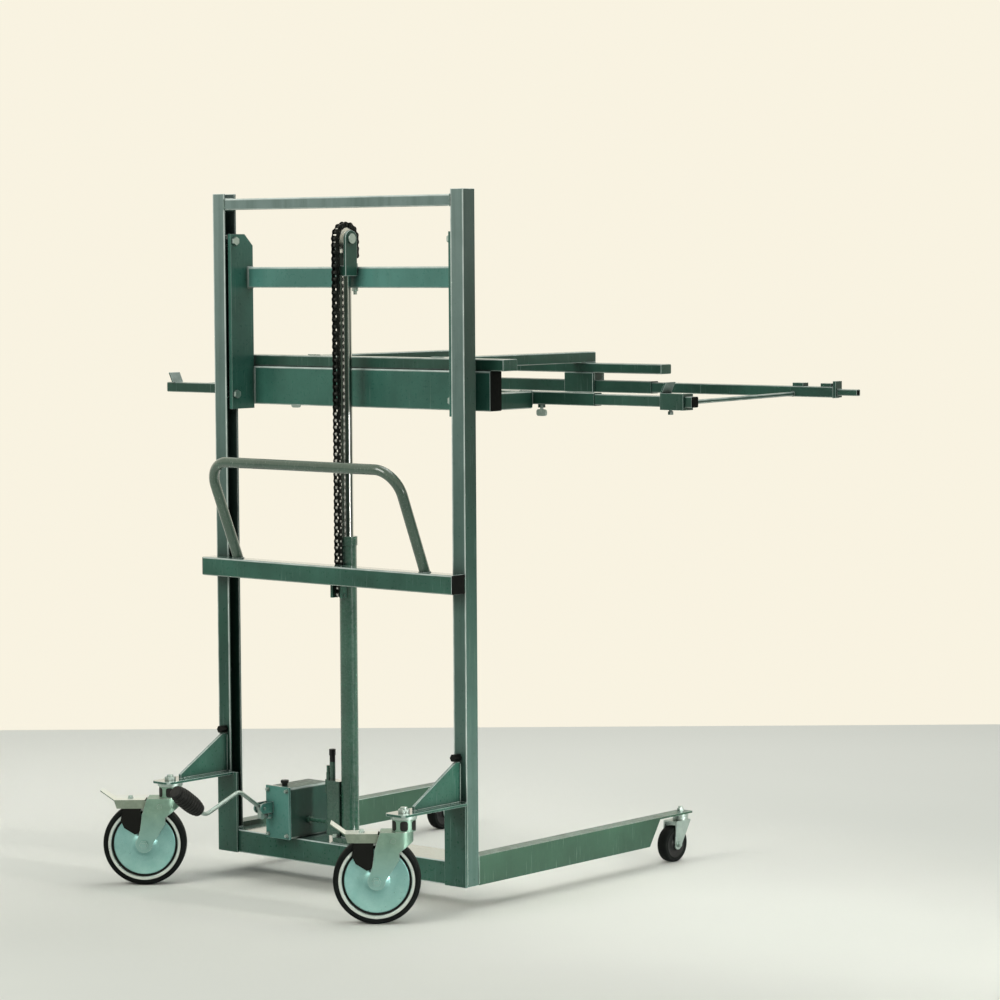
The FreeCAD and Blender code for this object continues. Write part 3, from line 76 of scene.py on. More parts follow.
class Paint:
    """A procedural material: a Principled shader with small helpers for textures on object coordinates."""

    def __init__(self, name, colour, roughness, metallic=0.0, **sockets):
        self.material = bpy.data.materials.new(name)
        self.material.use_nodes = True
        self.tree = self.material.node_tree
        self.shader = self.tree.nodes["Principled BSDF"]
        self.shader.inputs["Base Color"].default_value = (*colour, 1)
        self.shader.inputs["Metallic"].default_value = metallic
        self.shader.inputs["Roughness"].default_value = roughness
        for socket, value in sockets.items():
            self.shader.inputs[socket.replace("_", " ")].default_value = value
        self.place = self.tree.nodes.new("ShaderNodeTexCoord").outputs["Object"]

    def node(self, kind, links=(), **settings):
        """A new node; a setting is one of its own options or the value of a socket."""
        made = self.tree.nodes.new("ShaderNode" + kind)
        for name, value in settings.items():
            if hasattr(made, name):
                setattr(made, name, value)
            else:
                made.inputs[name.replace("_", " ").title()].default_value = value
        for socket, source in dict(links).items():
            self.tree.links.new(source, made.inputs[socket])
        return made

    def feed(self, socket, source):
        """Links a value to a socket of the shader."""
        self.tree.links.new(source, self.shader.inputs[socket])

    def noise(self, scale, detail, stretch=None, roughness=0.55):
        """Cloudy noise; a stretch scales the place first and so draws it out into streaks."""
        place = self.place
        if stretch:
            place = self.node("Mapping", {"Vector": place}, scale=stretch).outputs[0]
        made = self.node("TexNoise", {"Vector": place}, scale=scale, detail=detail, roughness=roughness)
        return made.outputs["Fac"]

    def cells(self, scale):
        return self.node("TexVoronoi", {"Vector": self.place}, scale=scale).outputs["Distance"]

    def ramp(self, value, low, high, start=0.0, end=1.0):
        """Goes from start to end while the value goes from low to high, and stays there."""
        made = self.node("MapRange", {"Value": value})
        for socket, number in (("From Min", low), ("From Max", high), ("To Min", start), ("To Max", end)):
            made.inputs[socket].default_value = number
        return made.outputs[0]

    def maths(self, operation, first, second=None):
        made = self.node("Math", {0: first}, operation=operation)
        if isinstance(second, float):
            made.inputs[1].default_value = second
        elif second is not None:
            self.tree.links.new(second, made.inputs[1])
        return made.outputs[0]

    def times(self, first, second):
        return self.maths("MULTIPLY", first, second)

    def mix(self, share, first, second):
        """Two colours, each a tuple or a socket; 6, 7 and 2 are the Mix node's colour sockets."""
        made = self.node("Mix", {0: share}, data_type="RGBA")
        for index, colour in ((6, first), (7, second)):
            if isinstance(colour, tuple):
                made.inputs[index].default_value = (*colour, 1)
            else:
                self.tree.links.new(colour, made.inputs[index])
        return made.outputs[2]

    def blend(self, share, first, second):
        """Two numbers from sockets; 2, 3 and 0 are the Mix node's number sockets."""
        return self.node("Mix", {0: share, 2: first, 3: second}, data_type="FLOAT").outputs[0]

    def along(self, axis):
        """The object coordinate along an axis."""
        return self.node("SeparateXYZ", {0: self.place}).outputs[axis]

    def normal(self):
        return self.node("NewGeometry").outputs["Normal"]

    def facing(self, axis):
        """How far a face looks along an axis, from -1 to 1."""
        return self.node("SeparateXYZ", {0: self.normal()}).outputs[axis]

    def corner(self):
        """0 on faces square to the truck, 1 on rounded edges and sloping cuts."""
        size = self.node("VectorMath", {0: self.normal()}, operation="ABSOLUTE").outputs[0]
        parts = self.node("SeparateXYZ", {0: size}).outputs
        most = self.maths("MAXIMUM", self.maths("MAXIMUM", parts[X], parts[Y]), parts[Z])
        return self.ramp(most, 0.86, 0.98, 1.0, 0.0)

    def hollow(self, distance):
        """0 in corners and crevices, 1 on open faces."""
        return self.node("AmbientOcclusion", samples=4, distance=distance).outputs["AO"]

    def bump(self, height, strength, distance=0.001):
        made = self.node("Bump", {"Height": height}, strength=strength, distance=distance)
        self.feed("Normal", made.outputs[0])


LIGHT = (0.30, 0.41, 0.36)
PAINTED_LIGHT_TONE = (0.21, 0.285, 0.265)
PAINTED_SHADE_TONE = (0.008, 0.034, 0.022)
WORN_AND_HIGHLIGHT = (0.62, 0.70, 0.65)
BLACK = (0.012, 0.013, 0.012)
CHIPPED = (0.02, 0.025, 0.02)
PAINT_SHADE_AND_SOIL = (0.006, 0.013, 0.010)
METAL_SHADE_AND_SOIL = (0.015, 0.018, 0.016)
DUST = (0.09, 0.09, 0.085)


def enamel(name, tones, gloss, light=LIGHT, light_and_shade=(), shade=0.02, edge_wear_and_sheen=0.0, polish=1.0, coat=0.12,
           edges=()):
    """Sprayed enamel: cloudy tone, orange peel, scratches, edges worn bare with a painted highlight, glossy
    tops with a painted sheen, and corners darkened with soiling and painted shade.

    A zone is painted light and shade: another tone on the faces that look one way along an axis, with a share
    of it elsewhere, and it grows between two heights to its most. An edge is a painted highlight line on the
    faces towards the handle: the axis across it, and how far out from the middle it starts, is full and
    stops.
    """
    deep, mid = tones
    paint = Paint(name, mid, gloss, Specular_IOR_Level=0.3, Coat_Weight=coat, Coat_Roughness=0.10)
    cloud = paint.ramp(paint.noise(6.0, 6.0), 0.36, 0.66)
    colour = paint.mix(cloud, deep, mid)
    # Painted light and shade: each zone's tone on the faces that look its way, growing with height.
    for tone, axis, way, elsewhere, low, high, most in light_and_shade:
        side = paint.ramp(paint.facing(axis), 0.0, 0.9 * way, elsewhere, 1.0)
        patchy = paint.times(paint.ramp(paint.noise(9.0, 5.0), 0.3, 0.7, 0.7, 1.0), side)
        share = paint.times(paint.ramp(paint.along(Z), low, high, 0.0, most), patchy)
        colour = paint.mix(share, colour, tone)
    streak = paint.ramp(paint.noise(1.0, 4.0, (46.0, 46.0, 2.2)), 0.5, 0.78, 0.0, 0.4)
    colour = paint.mix(streak, colour, deep)
    scratch = paint.ramp(paint.noise(1.0, 3.0, (700.0, 700.0, 9.0)), 0.66, 0.72, 0.0, 0.5)
    colour = paint.mix(scratch, colour, light)
    chip = paint.ramp(paint.noise(95.0, 6.0, roughness=0.7), 0.735, 0.75)
    colour = paint.mix(paint.times(chip, 0.7), colour, CHIPPED)
    top = paint.ramp(paint.facing(Z), 0.8, 0.97)
    # Faces that look up take the light tone in patches: a painted sheen.
    top_sheen = paint.times(top, paint.ramp(paint.noise(24.0, 5.0), 0.3, 0.75, 0.1, 0.4))
    colour = paint.mix(top_sheen, colour, light)
    # Rounded edges and sloping cuts go paler: paint worn bare, and a painted highlight.
    if edge_wear_and_sheen:
        worn = paint.ramp(paint.noise(30.0, 4.0), 0.3, 0.6, 0.5 * edge_wear_and_sheen, edge_wear_and_sheen)
        colour = paint.mix(paint.times(paint.corner(), worn), colour, WORN_AND_HIGHLIGHT)
    # Painted highlight lines along given edges, on the faces towards the handle.
    for axis, start, full, stop in edges:
        out = paint.maths("ABSOLUTE", paint.along(axis))
        line = paint.times(paint.ramp(out, start, full), paint.ramp(out, stop + 0.001, stop))
        line = paint.times(line, paint.ramp(paint.facing(Y), -0.5, -0.9))
        line = paint.times(line, paint.ramp(paint.noise(22.0, 4.0), 0.3, 0.6, 0.45, 0.9))
        colour = paint.mix(line, colour, WORN_AND_HIGHLIGHT)
    # Corners and crevices go darker: soiling and painted shade.
    shade_and_soil = paint.ramp(paint.hollow(shade), 0.25, 0.85, 0.85, 0.0)
    paint.feed("Base Color", paint.mix(shade_and_soil, colour, PAINT_SHADE_AND_SOIL))
    paint.feed("Coat Weight", paint.ramp(top, 0.0, 1.0, coat, polish))
    grain = paint.ramp(paint.noise(130.0, 4.0), 0.3, 0.7, gloss - 0.08, gloss + 0.12)
    paint.feed("Roughness", paint.blend(top, grain, paint.times(grain, 1.2 - 0.75 * polish)))
    paint.bump(paint.noise(520.0, 2.0), 0.08)
    return paint.material


def plated(name, tones, grain, roughness, zone=None, top=None, corner_darkening=0.85):
    """Plated or machined steel: mottled tone, fine grain, corners darkened with soiling and painted shade.

    A zone is another tone along an axis: the axis, where it starts, where it is full, and the tone.
    A top is another tone on the faces that look up.
    """
    colour, dark = tones
    metal = Paint(name, colour, roughness, metallic=0.9)
    mottle = metal.ramp(metal.cells(210.0), 0.0, 0.9)
    tone = metal.mix(metal.ramp(metal.noise(38.0, 5.0), 0.3, 0.75), dark, colour)
    tone = metal.mix(metal.times(mottle, 0.35), tone, dark)
    stain = metal.ramp(metal.noise(11.0, 6.0), 0.58, 0.78, 0.0, 0.45)
    tone = metal.mix(stain, tone, tuple(0.45 * c for c in dark))
    # Corners and crevices go darker: soiling and painted shade.
    shade_and_soil = metal.ramp(metal.hollow(0.012), 0.2, 0.8, corner_darkening, 0.0)
    tone = metal.mix(shade_and_soil, tone, METAL_SHADE_AND_SOIL)
    if top:
        tone = metal.mix(metal.ramp(metal.facing(Z), 0.25, 0.8, 0.0, 0.9), tone, top)
    if zone:
        axis, low, high, other = zone
        tone = metal.mix(metal.ramp(metal.along(axis), low, high), tone, other)
    metal.feed("Base Color", tone)
    rough = metal.ramp(metal.noise(160.0, 3.0), 0.3, 0.7, roughness - 0.08, roughness + 0.14)
    metal.feed("Roughness", rough)
    metal.bump(metal.noise(1.0, 2.0, grain), 0.12, 0.0004)
    return metal.material


def chromed(name, colour, dark_reflection):
    """Hard chrome with painted reflections: a dark mottled tone, and two long bright bands of painted
    highlight where the faces look one way along X.
    """
    rod = Paint(name, colour, 0.16, metallic=1.0)
    reflection_mottle = rod.ramp(rod.noise(1.0, 4.0, (30.0, 30.0, 12.0)), 0.45, 0.7, 0.0, 0.6)
    tone = rod.mix(reflection_mottle, dark_reflection, tuple(0.5 * c for c in dark_reflection))
    # Two bands of faces, by how they look along X, take the bright colour: painted highlights.
    for low, high in ((0.06, 0.48), (0.86, 1.0)):
        rise = rod.ramp(rod.facing(X), low, low + 0.06)
        fall = rod.ramp(rod.facing(X), high, high - 0.06)
        highlight_strength = rod.ramp(rod.noise(1.0, 3.0, (160.0, 160.0, 5.0)), 0.2, 0.45, 0.55, 1.0)
        tone = rod.mix(rod.times(rod.times(rise, fall), highlight_strength), tone, colour)
    rod.feed("Base Color", tone)
    rod.feed("Roughness", rod.ramp(rod.noise(1.0, 3.0, (30.0, 30.0, 900.0)), 0.3, 0.8, 0.12, 0.28))
    rod.bump(rod.noise(1.0, 2.0, (40.0, 40.0, 1500.0)), 0.04, 0.0003)
    return rod.material


def rubber(name, colour, worn, roughness, pores, shine=0.2):
    """Rubber or moulded plastic: scuffed, dusty on top, with fine pores."""
    soft = Paint(name, colour, roughness, Specular_IOR_Level=shine)
    scuff = soft.ramp(soft.noise(26.0, 7.0, roughness=0.65), 0.5, 0.78, 0.0, 0.8)
    tone = soft.mix(scuff, colour, worn)
    dusty = soft.times(soft.ramp(soft.facing(Z), 0.3, 1.0), 0.08)
    soft.feed("Base Color", soft.mix(dusty, tone, DUST))
    rough = soft.ramp(soft.noise(90.0, 4.0), 0.3, 0.7, roughness - 0.1, roughness + 0.12)
    soft.feed("Roughness", rough)
    soft.bump(soft.noise(pores, 3.0), 0.3, 0.0005)
    return soft.material


# Enamel tones are deep and mid, metal tones are clean and dark.
GREEN_TONES = (0.018, 0.070, 0.048), (0.038, 0.130, 0.092)
BODY_TONES = (0.026, 0.098, 0.073), (0.046, 0.158, 0.118)
LEG_TONES = (0.019, 0.054, 0.033), (0.031, 0.083, 0.051)
SHADED_TONES = (0.014, 0.054, 0.037), (0.026, 0.094, 0.065)
PALE_TONES = (0.055, 0.170, 0.140), (0.085, 0.245, 0.205)
MAST_TONES = (0.010, 0.050, 0.034), (0.016, 0.074, 0.050)
TANK_TONES = (0.009, 0.036, 0.026), (0.016, 0.060, 0.043)
ROUND_TONES = (0.022, 0.070, 0.046), (0.042, 0.120, 0.080)
HANDLE_TONES = (0.034, 0.070, 0.048), (0.062, 0.112, 0.078)
WORN_SHEEN_TONES = (0.36, 0.46, 0.42), (0.60, 0.69, 0.65)
ZINC_TONES = (0.50, 0.60, 0.56), (0.34, 0.43, 0.40)

# Zones of painted light and shade: tone, axis, way, share elsewhere, low, high, most. Edges, painted
# highlight lines: axis, start, full, stop.
NO_STOP = 9.0
# Painted light: the mast's front faces go lighter up high.
TOP_PAINTED_LIGHT = (PAINTED_LIGHT_TONE, Y, -1, 0.3, 0.8, 1.62, 0.75)
LEFT_LIGHT_AND_SHADE = [TOP_PAINTED_LIGHT, (PAINTED_LIGHT_TONE, Y, -1, 0.3, 0.62, 0.9, 0.28)]
# On the right upright: painted shade on its side from mid-height up and on its front at the foot; painted
# light on its front low down and on its side at the foot and the top.
RIGHT_LIGHT_AND_SHADE = [TOP_PAINTED_LIGHT,
               (PAINTED_LIGHT_TONE, Y, -1, 0.3, 0.12, 0.42, 0.3),
               (PAINTED_SHADE_TONE, X, 1, 0.0, 0.7, 1.0, 0.6),
               (PAINTED_LIGHT_TONE, X, 1, 0.0, 0.8, 0.3, 0.3),
               (PAINTED_SHADE_TONE, Y, -1, 0.0, 0.3, 0.1, 0.6),
               (PAINTED_LIGHT_TONE, X, 1, 0.0, 1.36, 1.56, 0.32)]
MAST_HIGHLIGHTS = [(X, 0.3995, 0.4025, NO_STOP), (X, 0.3690, 0.3660, NO_STOP)]
RAIL_HIGHLIGHTS = [(Z, 1.6440, 1.6465, NO_STOP)]
BEAM_HIGHLIGHTS = [(Z, 1.2375, 1.2400, NO_STOP), (X, 0.3455, 0.3475, 0.3520)]
BAR_HIGHLIGHTS = [(Z, 1.4785, 1.4810, NO_STOP), (X, 0.3440, 0.3460, NO_STOP)]
CROSSBAR_HIGHLIGHTS = [(Z, 0.7765, 0.7785, NO_STOP)]

GREEN = enamel("green_enamel", GREEN_TONES, gloss=0.32, edge_wear_and_sheen=0.55)
BODY = enamel("body_enamel", BODY_TONES, gloss=0.32, edge_wear_and_sheen=0.6)
LEG = enamel("leg_enamel", LEG_TONES, gloss=0.36, edge_wear_and_sheen=0.6, polish=0.1)
# The platform's darker enamel is a painted shadow of a load on it.
SHADED = enamel("platform_painted_shadow", SHADED_TONES, gloss=0.34, edge_wear_and_sheen=0.5, polish=0.5)
PALE = enamel("pale_enamel", PALE_TONES, gloss=0.32, edge_wear_and_sheen=0.6)
MAST = enamel("mast_enamel", MAST_TONES, gloss=0.34, light_and_shade=LEFT_LIGHT_AND_SHADE, shade=0.06, edge_wear_and_sheen=0.9,
              edges=MAST_HIGHLIGHTS)
MAST_RIGHT = enamel("mast_enamel_right", MAST_TONES, gloss=0.34, light_and_shade=RIGHT_LIGHT_AND_SHADE, shade=0.06, edge_wear_and_sheen=0.9,
                    edges=MAST_HIGHLIGHTS)
RAIL = enamel("rail_enamel", MAST_TONES, gloss=0.34, light_and_shade=LEFT_LIGHT_AND_SHADE, shade=0.06, edge_wear_and_sheen=0.9,
              edges=RAIL_HIGHLIGHTS)
BEAM = enamel("beam_enamel", BODY_TONES, gloss=0.32, edge_wear_and_sheen=0.6, edges=BEAM_HIGHLIGHTS)
BAR = enamel("bar_enamel", PALE_TONES, gloss=0.32, edge_wear_and_sheen=0.6, edges=BAR_HIGHLIGHTS)
CROSSBAR = enamel("crossbar_enamel", GREEN_TONES, gloss=0.32, edge_wear_and_sheen=0.55, edges=CROSSBAR_HIGHLIGHTS)
# The oil tank's darker enamel is painted shade from the frame round it.
TANK = enamel("tank_painted_shade", TANK_TONES, gloss=0.36, light=(0.07, 0.14, 0.11), edge_wear_and_sheen=0.55, polish=0.1)
ROUND = enamel("cylinder_enamel", ROUND_TONES, gloss=0.26, coat=0.7)
HANDLE = enamel("handle_enamel", HANDLE_TONES, gloss=0.20, light=(0.50, 0.56, 0.48), coat=0.9)
# The edge tones are paler, for worn paint and for painted highlights on the rounded edges.
WORN_SHEEN_GREEN = enamel("green_enamel_worn_sheen", WORN_SHEEN_TONES, gloss=0.28, light=(0.74, 0.79, 0.76))

# The grain of a metal is finest along the axis with the highest number.
UPRIGHT_GRAIN = (600.0, 600.0, 60.0)
TURNED_GRAIN = (60.0, 900.0, 900.0)
PEDAL_GRAIN = (90.0, 600.0, 600.0)
EDGE_GRAIN = (500.0, 500.0, 500.0)
CHAIN_GRAIN = (800.0, 800.0, 800.0)
WHEEL_GRAIN = (300.0, 300.0, 300.0)
ZINC = plated("zinc_plate", ZINC_TONES, UPRIGHT_GRAIN, roughness=0.34)
WORN_SHEEN_ZINC = plated("zinc_plate_worn_sheen", ((0.72, 0.78, 0.75), (0.52, 0.58, 0.56)), EDGE_GRAIN, roughness=0.28)
FORK = plated("fork_plate", ((0.27, 0.41, 0.33), (0.18, 0.30, 0.24)), UPRIGHT_GRAIN, roughness=0.36,
              zone=(Z, 0.185, 0.10, (0.26, 0.45, 0.42)))
KNOBS = plated("fastener_plate", ZINC_TONES, UPRIGHT_GRAIN, roughness=0.34, zone=(Z, 0.325, 0.33, BLACK))
# The pedal is black below its top plate: a painted shadow of the pedal and fork on its brake arm.
PEDAL = plated("pedal_plate", ((0.34, 0.40, 0.33), (0.20, 0.25, 0.20)), PEDAL_GRAIN, roughness=0.38,
               zone=(Z, 0.1875, 0.1865, BLACK), top=(0.80, 0.84, 0.80))
STEEL = plated("machined_steel", ((0.46, 0.50, 0.48), (0.27, 0.31, 0.29)), TURNED_GRAIN, roughness=0.36)
BRIGHT = plated("sprocket_steel", ((0.95, 0.95, 0.90), (0.78, 0.79, 0.73)), TURNED_GRAIN, roughness=0.34,
                corner_darkening=0.25)
CHAIN = plated("greased_chain", ((0.022, 0.026, 0.023), (0.008, 0.010, 0.009)), CHAIN_GRAIN, roughness=0.42)
# Bright pins for the anchor run: painted glints among the dark links.
GLINT_PIN = plated("chain_glint_pin", ((0.70, 0.71, 0.68), (0.40, 0.41, 0.39)), CHAIN_GRAIN, roughness=0.30,
                  corner_darkening=0.6)
BLACK_PIN = plated("greased_pin", ((0.050, 0.053, 0.050), (0.018, 0.020, 0.018)), CHAIN_GRAIN,
                   roughness=0.36)
CHROME = chromed("hard_chrome", (0.93, 0.95, 0.92), (0.040, 0.062, 0.052))
RUBBER = rubber("grip_rubber", (0.008, 0.009, 0.008), (0.024, 0.025, 0.023), roughness=0.50, pores=700.0)
TYRE = rubber("tyre_rubber", (0.004, 0.0055, 0.005), (0.014, 0.017, 0.015), roughness=0.62, pores=450.0,
              shine=0.08)
CAP = rubber("end_cap", (0.0035, 0.0042, 0.0036), (0.009, 0.010, 0.009), roughness=0.6, pores=900.0,
             shine=0.06)
PLASTIC = rubber("black_plastic", (0.010, 0.011, 0.011), (0.03, 0.031, 0.03), roughness=0.40, pores=900.0)
DISC = plated("wheel_disc", ((0.32, 0.56, 0.54), (0.235, 0.46, 0.44)), WHEEL_GRAIN, roughness=0.34)
RING = plated("wheel_ring", ((0.74, 0.80, 0.76), (0.57, 0.63, 0.60)), WHEEL_GRAIN, roughness=0.34)


def split_edges(obj, degrees):
    """Breaks the shading where faces meet at more than the angle."""
    split = obj.modifiers.new("split", "EDGE_SPLIT")
    split.split_angle = math.radians(degrees)
    split.use_edge_sharp = False


def soften(name, material, edge, width, segments):
    """Gives a CAD node its material and a small rounded edge, in the edge tone where there is one: worn paint
    and a painted highlight.
    """
    node = nodes[name]
    node.data.materials.clear()
    node.data.materials.append(material)
    if edge:
        node.data.materials.append(edge)
    weld = node.modifiers.new("weld", "WELD")
    weld.merge_threshold = 0.000002
    flat = node.modifiers.new("flat", "DECIMATE")
    flat.decimate_type = "DISSOLVE"
    flat.angle_limit = math.radians(0.8)
    bevel = node.modifiers.new("bevel", "BEVEL")
    bevel.width = width
    bevel.segments = segments
    bevel.limit_method = "ANGLE"
    bevel.angle_limit = math.radians(40)
    if edge:
        bevel.material = 1
    split_edges(node, 35)
    even = node.modifiers.new("even", "WEIGHTED_NORMAL")
    even.weight = 100


def smooth_by_angle(obj, degrees):
    """Smooth shading on a piece, broken where its faces meet at more than the angle."""
    obj.data.shade_smooth()
    split_edges(obj, degrees)


def piece(name, mesh, materials, body, replaces=()):
    """A new object that rides on a body and may stand for CAD nodes."""
    obj = bpy.data.objects.new(name, mesh)
    scene.collection.objects.link(obj)
    for material in materials:
        mesh.materials.append(material)
    if body:
        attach(obj, body)
    if replaces:
        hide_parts(*replaces)
    return obj


def mesh_of(name, build):
    """A mesh made by a function that fills a bmesh."""
    mesh = bpy.data.meshes.new(name)
    work = bmesh.new()
    build(work)
    bmesh.ops.recalc_face_normals(work, faces=work.faces)
    work.to_mesh(mesh)
    work.free()
    return mesh


def skin(work, rows, closed=True):
    """Faces between rows of vertices and on the first and last row; a closed row runs round to its start."""
    for low, high in zip(rows, rows[1:]):
        for k in range(len(low) if closed else len(low) - 1):
            n = (k + 1) % len(low)
            work.faces.new((low[k], low[n], high[n], high[k]))
    work.faces.new(rows[0])
    work.faces.new(rows[-1])


def lathe(work, profile, steps, axis, marks=None):
    """Turns a closed loop of (radius, height) points about the local Z axis; marks are the material slots."""
    rows = []
    for k in range(steps):
        turn = 2 * math.pi * k / steps
        way = Vector((math.cos(turn), math.sin(turn), 0))
        rows.append([work.verts.new(axis @ (way * r + Vector((0, 0, h)))) for r, h in profile])
    for k in range(steps):
        here, there = rows[k], rows[(k + 1) % steps]
        for i in range(len(profile)):
            j = (i + 1) % len(profile)
            face = work.faces.new((here[i], here[j], there[j], there[i]))
            face.material_index = marks[i] if marks else 0


def look_along(start, way):
    """A frame at start whose local Z runs along way."""
    return Matrix.Translation(start) @ Vector(way).to_track_quat("Z", "Y").to_matrix().to_4x4()


def turned(name, profile, axis, materials, body, node, steps, degrees, marks=None):
    """A turned piece that stands for a CAD node."""
    mesh = mesh_of(name, lambda work: lathe(work, profile, steps, axis, marks))
    smooth_by_angle(piece(name, mesh, materials, body, [node]), degrees)


def bead(work, points, radius):
    """A weld bead: a run of overlapping ripples along a line of points."""
    sides = 8
    for start, end in zip(points, points[1:]):
        start, end = Vector(start), Vector(end)
        halves = 2 * max(2, int((end - start).length / (radius * 0.75)))
        way = (end - start).normalized()
        side = way.orthogonal().normalized()
        other = way.cross(side)
        rings = []
        for k in range(halves + 1):
            at = start.lerp(end, k / halves)
            swell = radius * (1.0 if k % 2 else 0.82) * random.uniform(0.92, 1.06)
            if k in (0, halves):
                swell *= 0.5
            ring = []
            for c in range(sides):
                turn = 2 * math.pi * c / sides
                spot = at + side * (swell * math.cos(turn)) + other * (swell * math.sin(turn))
                ring.append(work.verts.new(spot))
            rings.append(ring)
        skin(work, rings)


def welds(name, runs, body, radius):
    """One piece with all the weld beads of a body."""
    def build(work):
        for run in runs:
            bead(work, run, radius)
    mesh = mesh_of(name, build)
    mesh.shade_smooth()
    piece(name, mesh, [GREEN], body)


def circle_points(centre, normal, radius, count):
    """A closed seam round a circle."""
    turn = look_along(centre, normal)
    points = []
    for k in range(count + 1):
        angle = 2 * math.pi * k / count
        points.append(turn @ Vector((radius * math.cos(angle), radius * math.sin(angle), 0)))
    return points


def rect(axis, at, u0, u1, v0, v1):
    """A closed seam round a rectangle in the plane where one axis has a fixed value."""
    seam = []
    for spot in ((u0, v0), (u1, v0), (u1, v1), (u0, v1), (u0, v0)):
        seam.append((*spot[:axis], at, *spot[axis:]))
    return seam


def both(runs):
    """The runs and their mirror images on the other side of the truck."""
    return list(runs) + [[(-x, y, z) for x, y, z in run] for run in runs]


def hex_bolt(work, at, way, across):
    """A washer, a chamfered hexagon head and its shallow crown."""
    height, washer, middle = 0.0055, 0.0016, 0.0001
    seat = look_along(at, way)
    lathe(work, [(middle, 0), (across * 0.72, 0), (across * 0.74, washer * 0.5), (across * 0.70, washer),
                 (middle, washer)], 32, seat)
    flats = across / math.sqrt(3)
    rows = []
    for radius, level in ((flats, washer), (flats, washer + height * 0.8), (flats * 0.86, washer + height),
                          (flats * 0.55, washer + height * 0.98)):
        row = []
        for k in range(6):
            turn = math.pi / 3 * k
            spot = Vector((radius * math.cos(turn), radius * math.sin(turn), level))
            row.append(work.verts.new(seat @ spot))
        rows.append(row)
    skin(work, rows)


def bolts(name, places, body, across):
    """One piece with several bolts: where each sits and the way that its head looks."""
    def build(work):
        for at, way in places:
            hex_bolt(work, Vector(at), way, across)
    smooth_by_angle(piece(name, mesh_of(name, build), [ZINC], body), 30)


def rounded(half_u, half_v, corner):
    """The outline of a rectangle with round corners."""
    steps = 4
    points = []
    for turn, su, sv in ((0, 1, 1), (90, -1, 1), (180, -1, -1), (270, 1, -1)):
        for k in range(steps + 1):
            angle = math.radians(turn + 90 * k / steps)
            points.append((su * (half_u - corner) + corner * math.cos(angle),
                           sv * (half_v - corner) + corner * math.sin(angle)))
    return points


def plugs(name, places, body, material):
    """Pressed-in end plugs for tubes: place, sideways direction, half width, half height, stand-off."""
    depth, corner = 0.003, 0.003

    def build(work):
        for at, side, half_u, half_v, proud in places:
            u, v = Vector(side), Vector(UP)
            out = u.cross(v)
            rows = []
            for inset, level in ((0.0, -depth), (0.0, proud - 0.0007), (0.0006, proud - 0.0001),
                                 (0.0022, proud)):
                outline = rounded(half_u - inset, half_v - inset, corner)
                rows.append([work.verts.new(Vector(at) + u * a + v * b + out * level) for a, b in outline])
            skin(work, rows)
    smooth_by_angle(piece(name, mesh_of(name, build), [material], body), 40)


def caster(sign):
    """The frame of a rear caster: origin on the floor below its king pin, X pointing ahead of its trail."""
    return Matrix.Translation((sign * REAR_X, REAR_Y, 0)) @ Matrix.Rotation(REAR_TURN, 4, "Z")


def make_rear_wheels():
    """Tyre with a rounded tread and moulding line, bright rim ring, a groove in black as painted shade,
    dished disc and hub.
    """
    tread = [(0.0872, -0.0190), (0.0880, -0.0222), (0.0905, -0.0230), (0.0955, -0.0224), (0.0986, -0.0196),
             (0.0997, -0.0140), (0.0999, -0.0010), (0.1000, 0.0), (0.0999, 0.0010), (0.0997, 0.0140),
             (0.0986, 0.0196), (0.0955, 0.0224), (0.0905, 0.0230), (0.0880, 0.0222), (0.0872, 0.0190)]
    face = [(0.0878, 0.0205), (0.0868, 0.0219), (0.0812, 0.0216), (0.0797, 0.0198), (0.0792, 0.0130),
            (0.0746, 0.0125), (0.0740, 0.0172), (0.0726, 0.0184), (0.0690, 0.0180), (0.0600, 0.0160),
            (0.0440, 0.0148), (0.0320, 0.0150), (0.0270, 0.0168), (0.0235, 0.0205), (0.0180, 0.0222),
            (0.0165, 0.0252), (0.0150, 0.0259), (0.0068, 0.0259)]
    profile = face + [(r, -h) for r, h in reversed(face)]
    disc, ring, groove = 0, 1, 2
    # The groove's faces take the black rubber: painted shade in the recess.
    shade = [ring] * 4 + [groove] * 2 + [disc] * 9 + [ring] * 2
    marks = shade + [disc] + list(reversed(shade)) + [ring]
    for side, sign in SIDES:
        axle = caster(sign) @ Vector((-REAR_TRAIL, 0, REAR_AXLE_Z))
        spin = look_along(axle, caster(sign).to_3x3() @ Vector(AHEAD))
        body = side + "_rear_wheel"
        turned(side + "_tyre_tread", tread, spin, [TYRE], body, side + "_rear_tyre",
               steps=112, degrees=50)
        turned(side + "_dished_wheel", profile, spin, [DISC, RING, RUBBER], body, side + "_rear_wheel_disc",
               steps=112, degrees=32, marks=marks)


def make_front_wheels():
    """Small solid wheels: crowned black tread on a grey nylon centre with a pressed hub."""
    half = [(0.0450, 0.0), (0.0449, 0.0060), (0.0440, 0.0112), (0.0418, 0.0138), (0.0340, 0.0140),
            (0.0330, 0.0128), (0.0250, 0.0108), (0.0170, 0.0110), (0.0135, 0.0138), (0.0062, 0.0140)]
    profile = half + [(r, -h) for r, h in reversed(half[1:])]
    tread, centre = 0, 1
    shade = [tread] * 5 + [centre] * 4
    marks = shade + [centre] + list(reversed(shade))
    for side, sign in SIDES:
        spin = look_along(Vector((sign * MAST_X, FRONT_AXLE_Y, FRONT_AXLE_Z)), RIGHT)
        body = side + "_front_wheel"
        turned(side + "_front_tread", profile, spin, [TYRE, PLASTIC], body, body,
               steps=80, degrees=32, marks=marks)


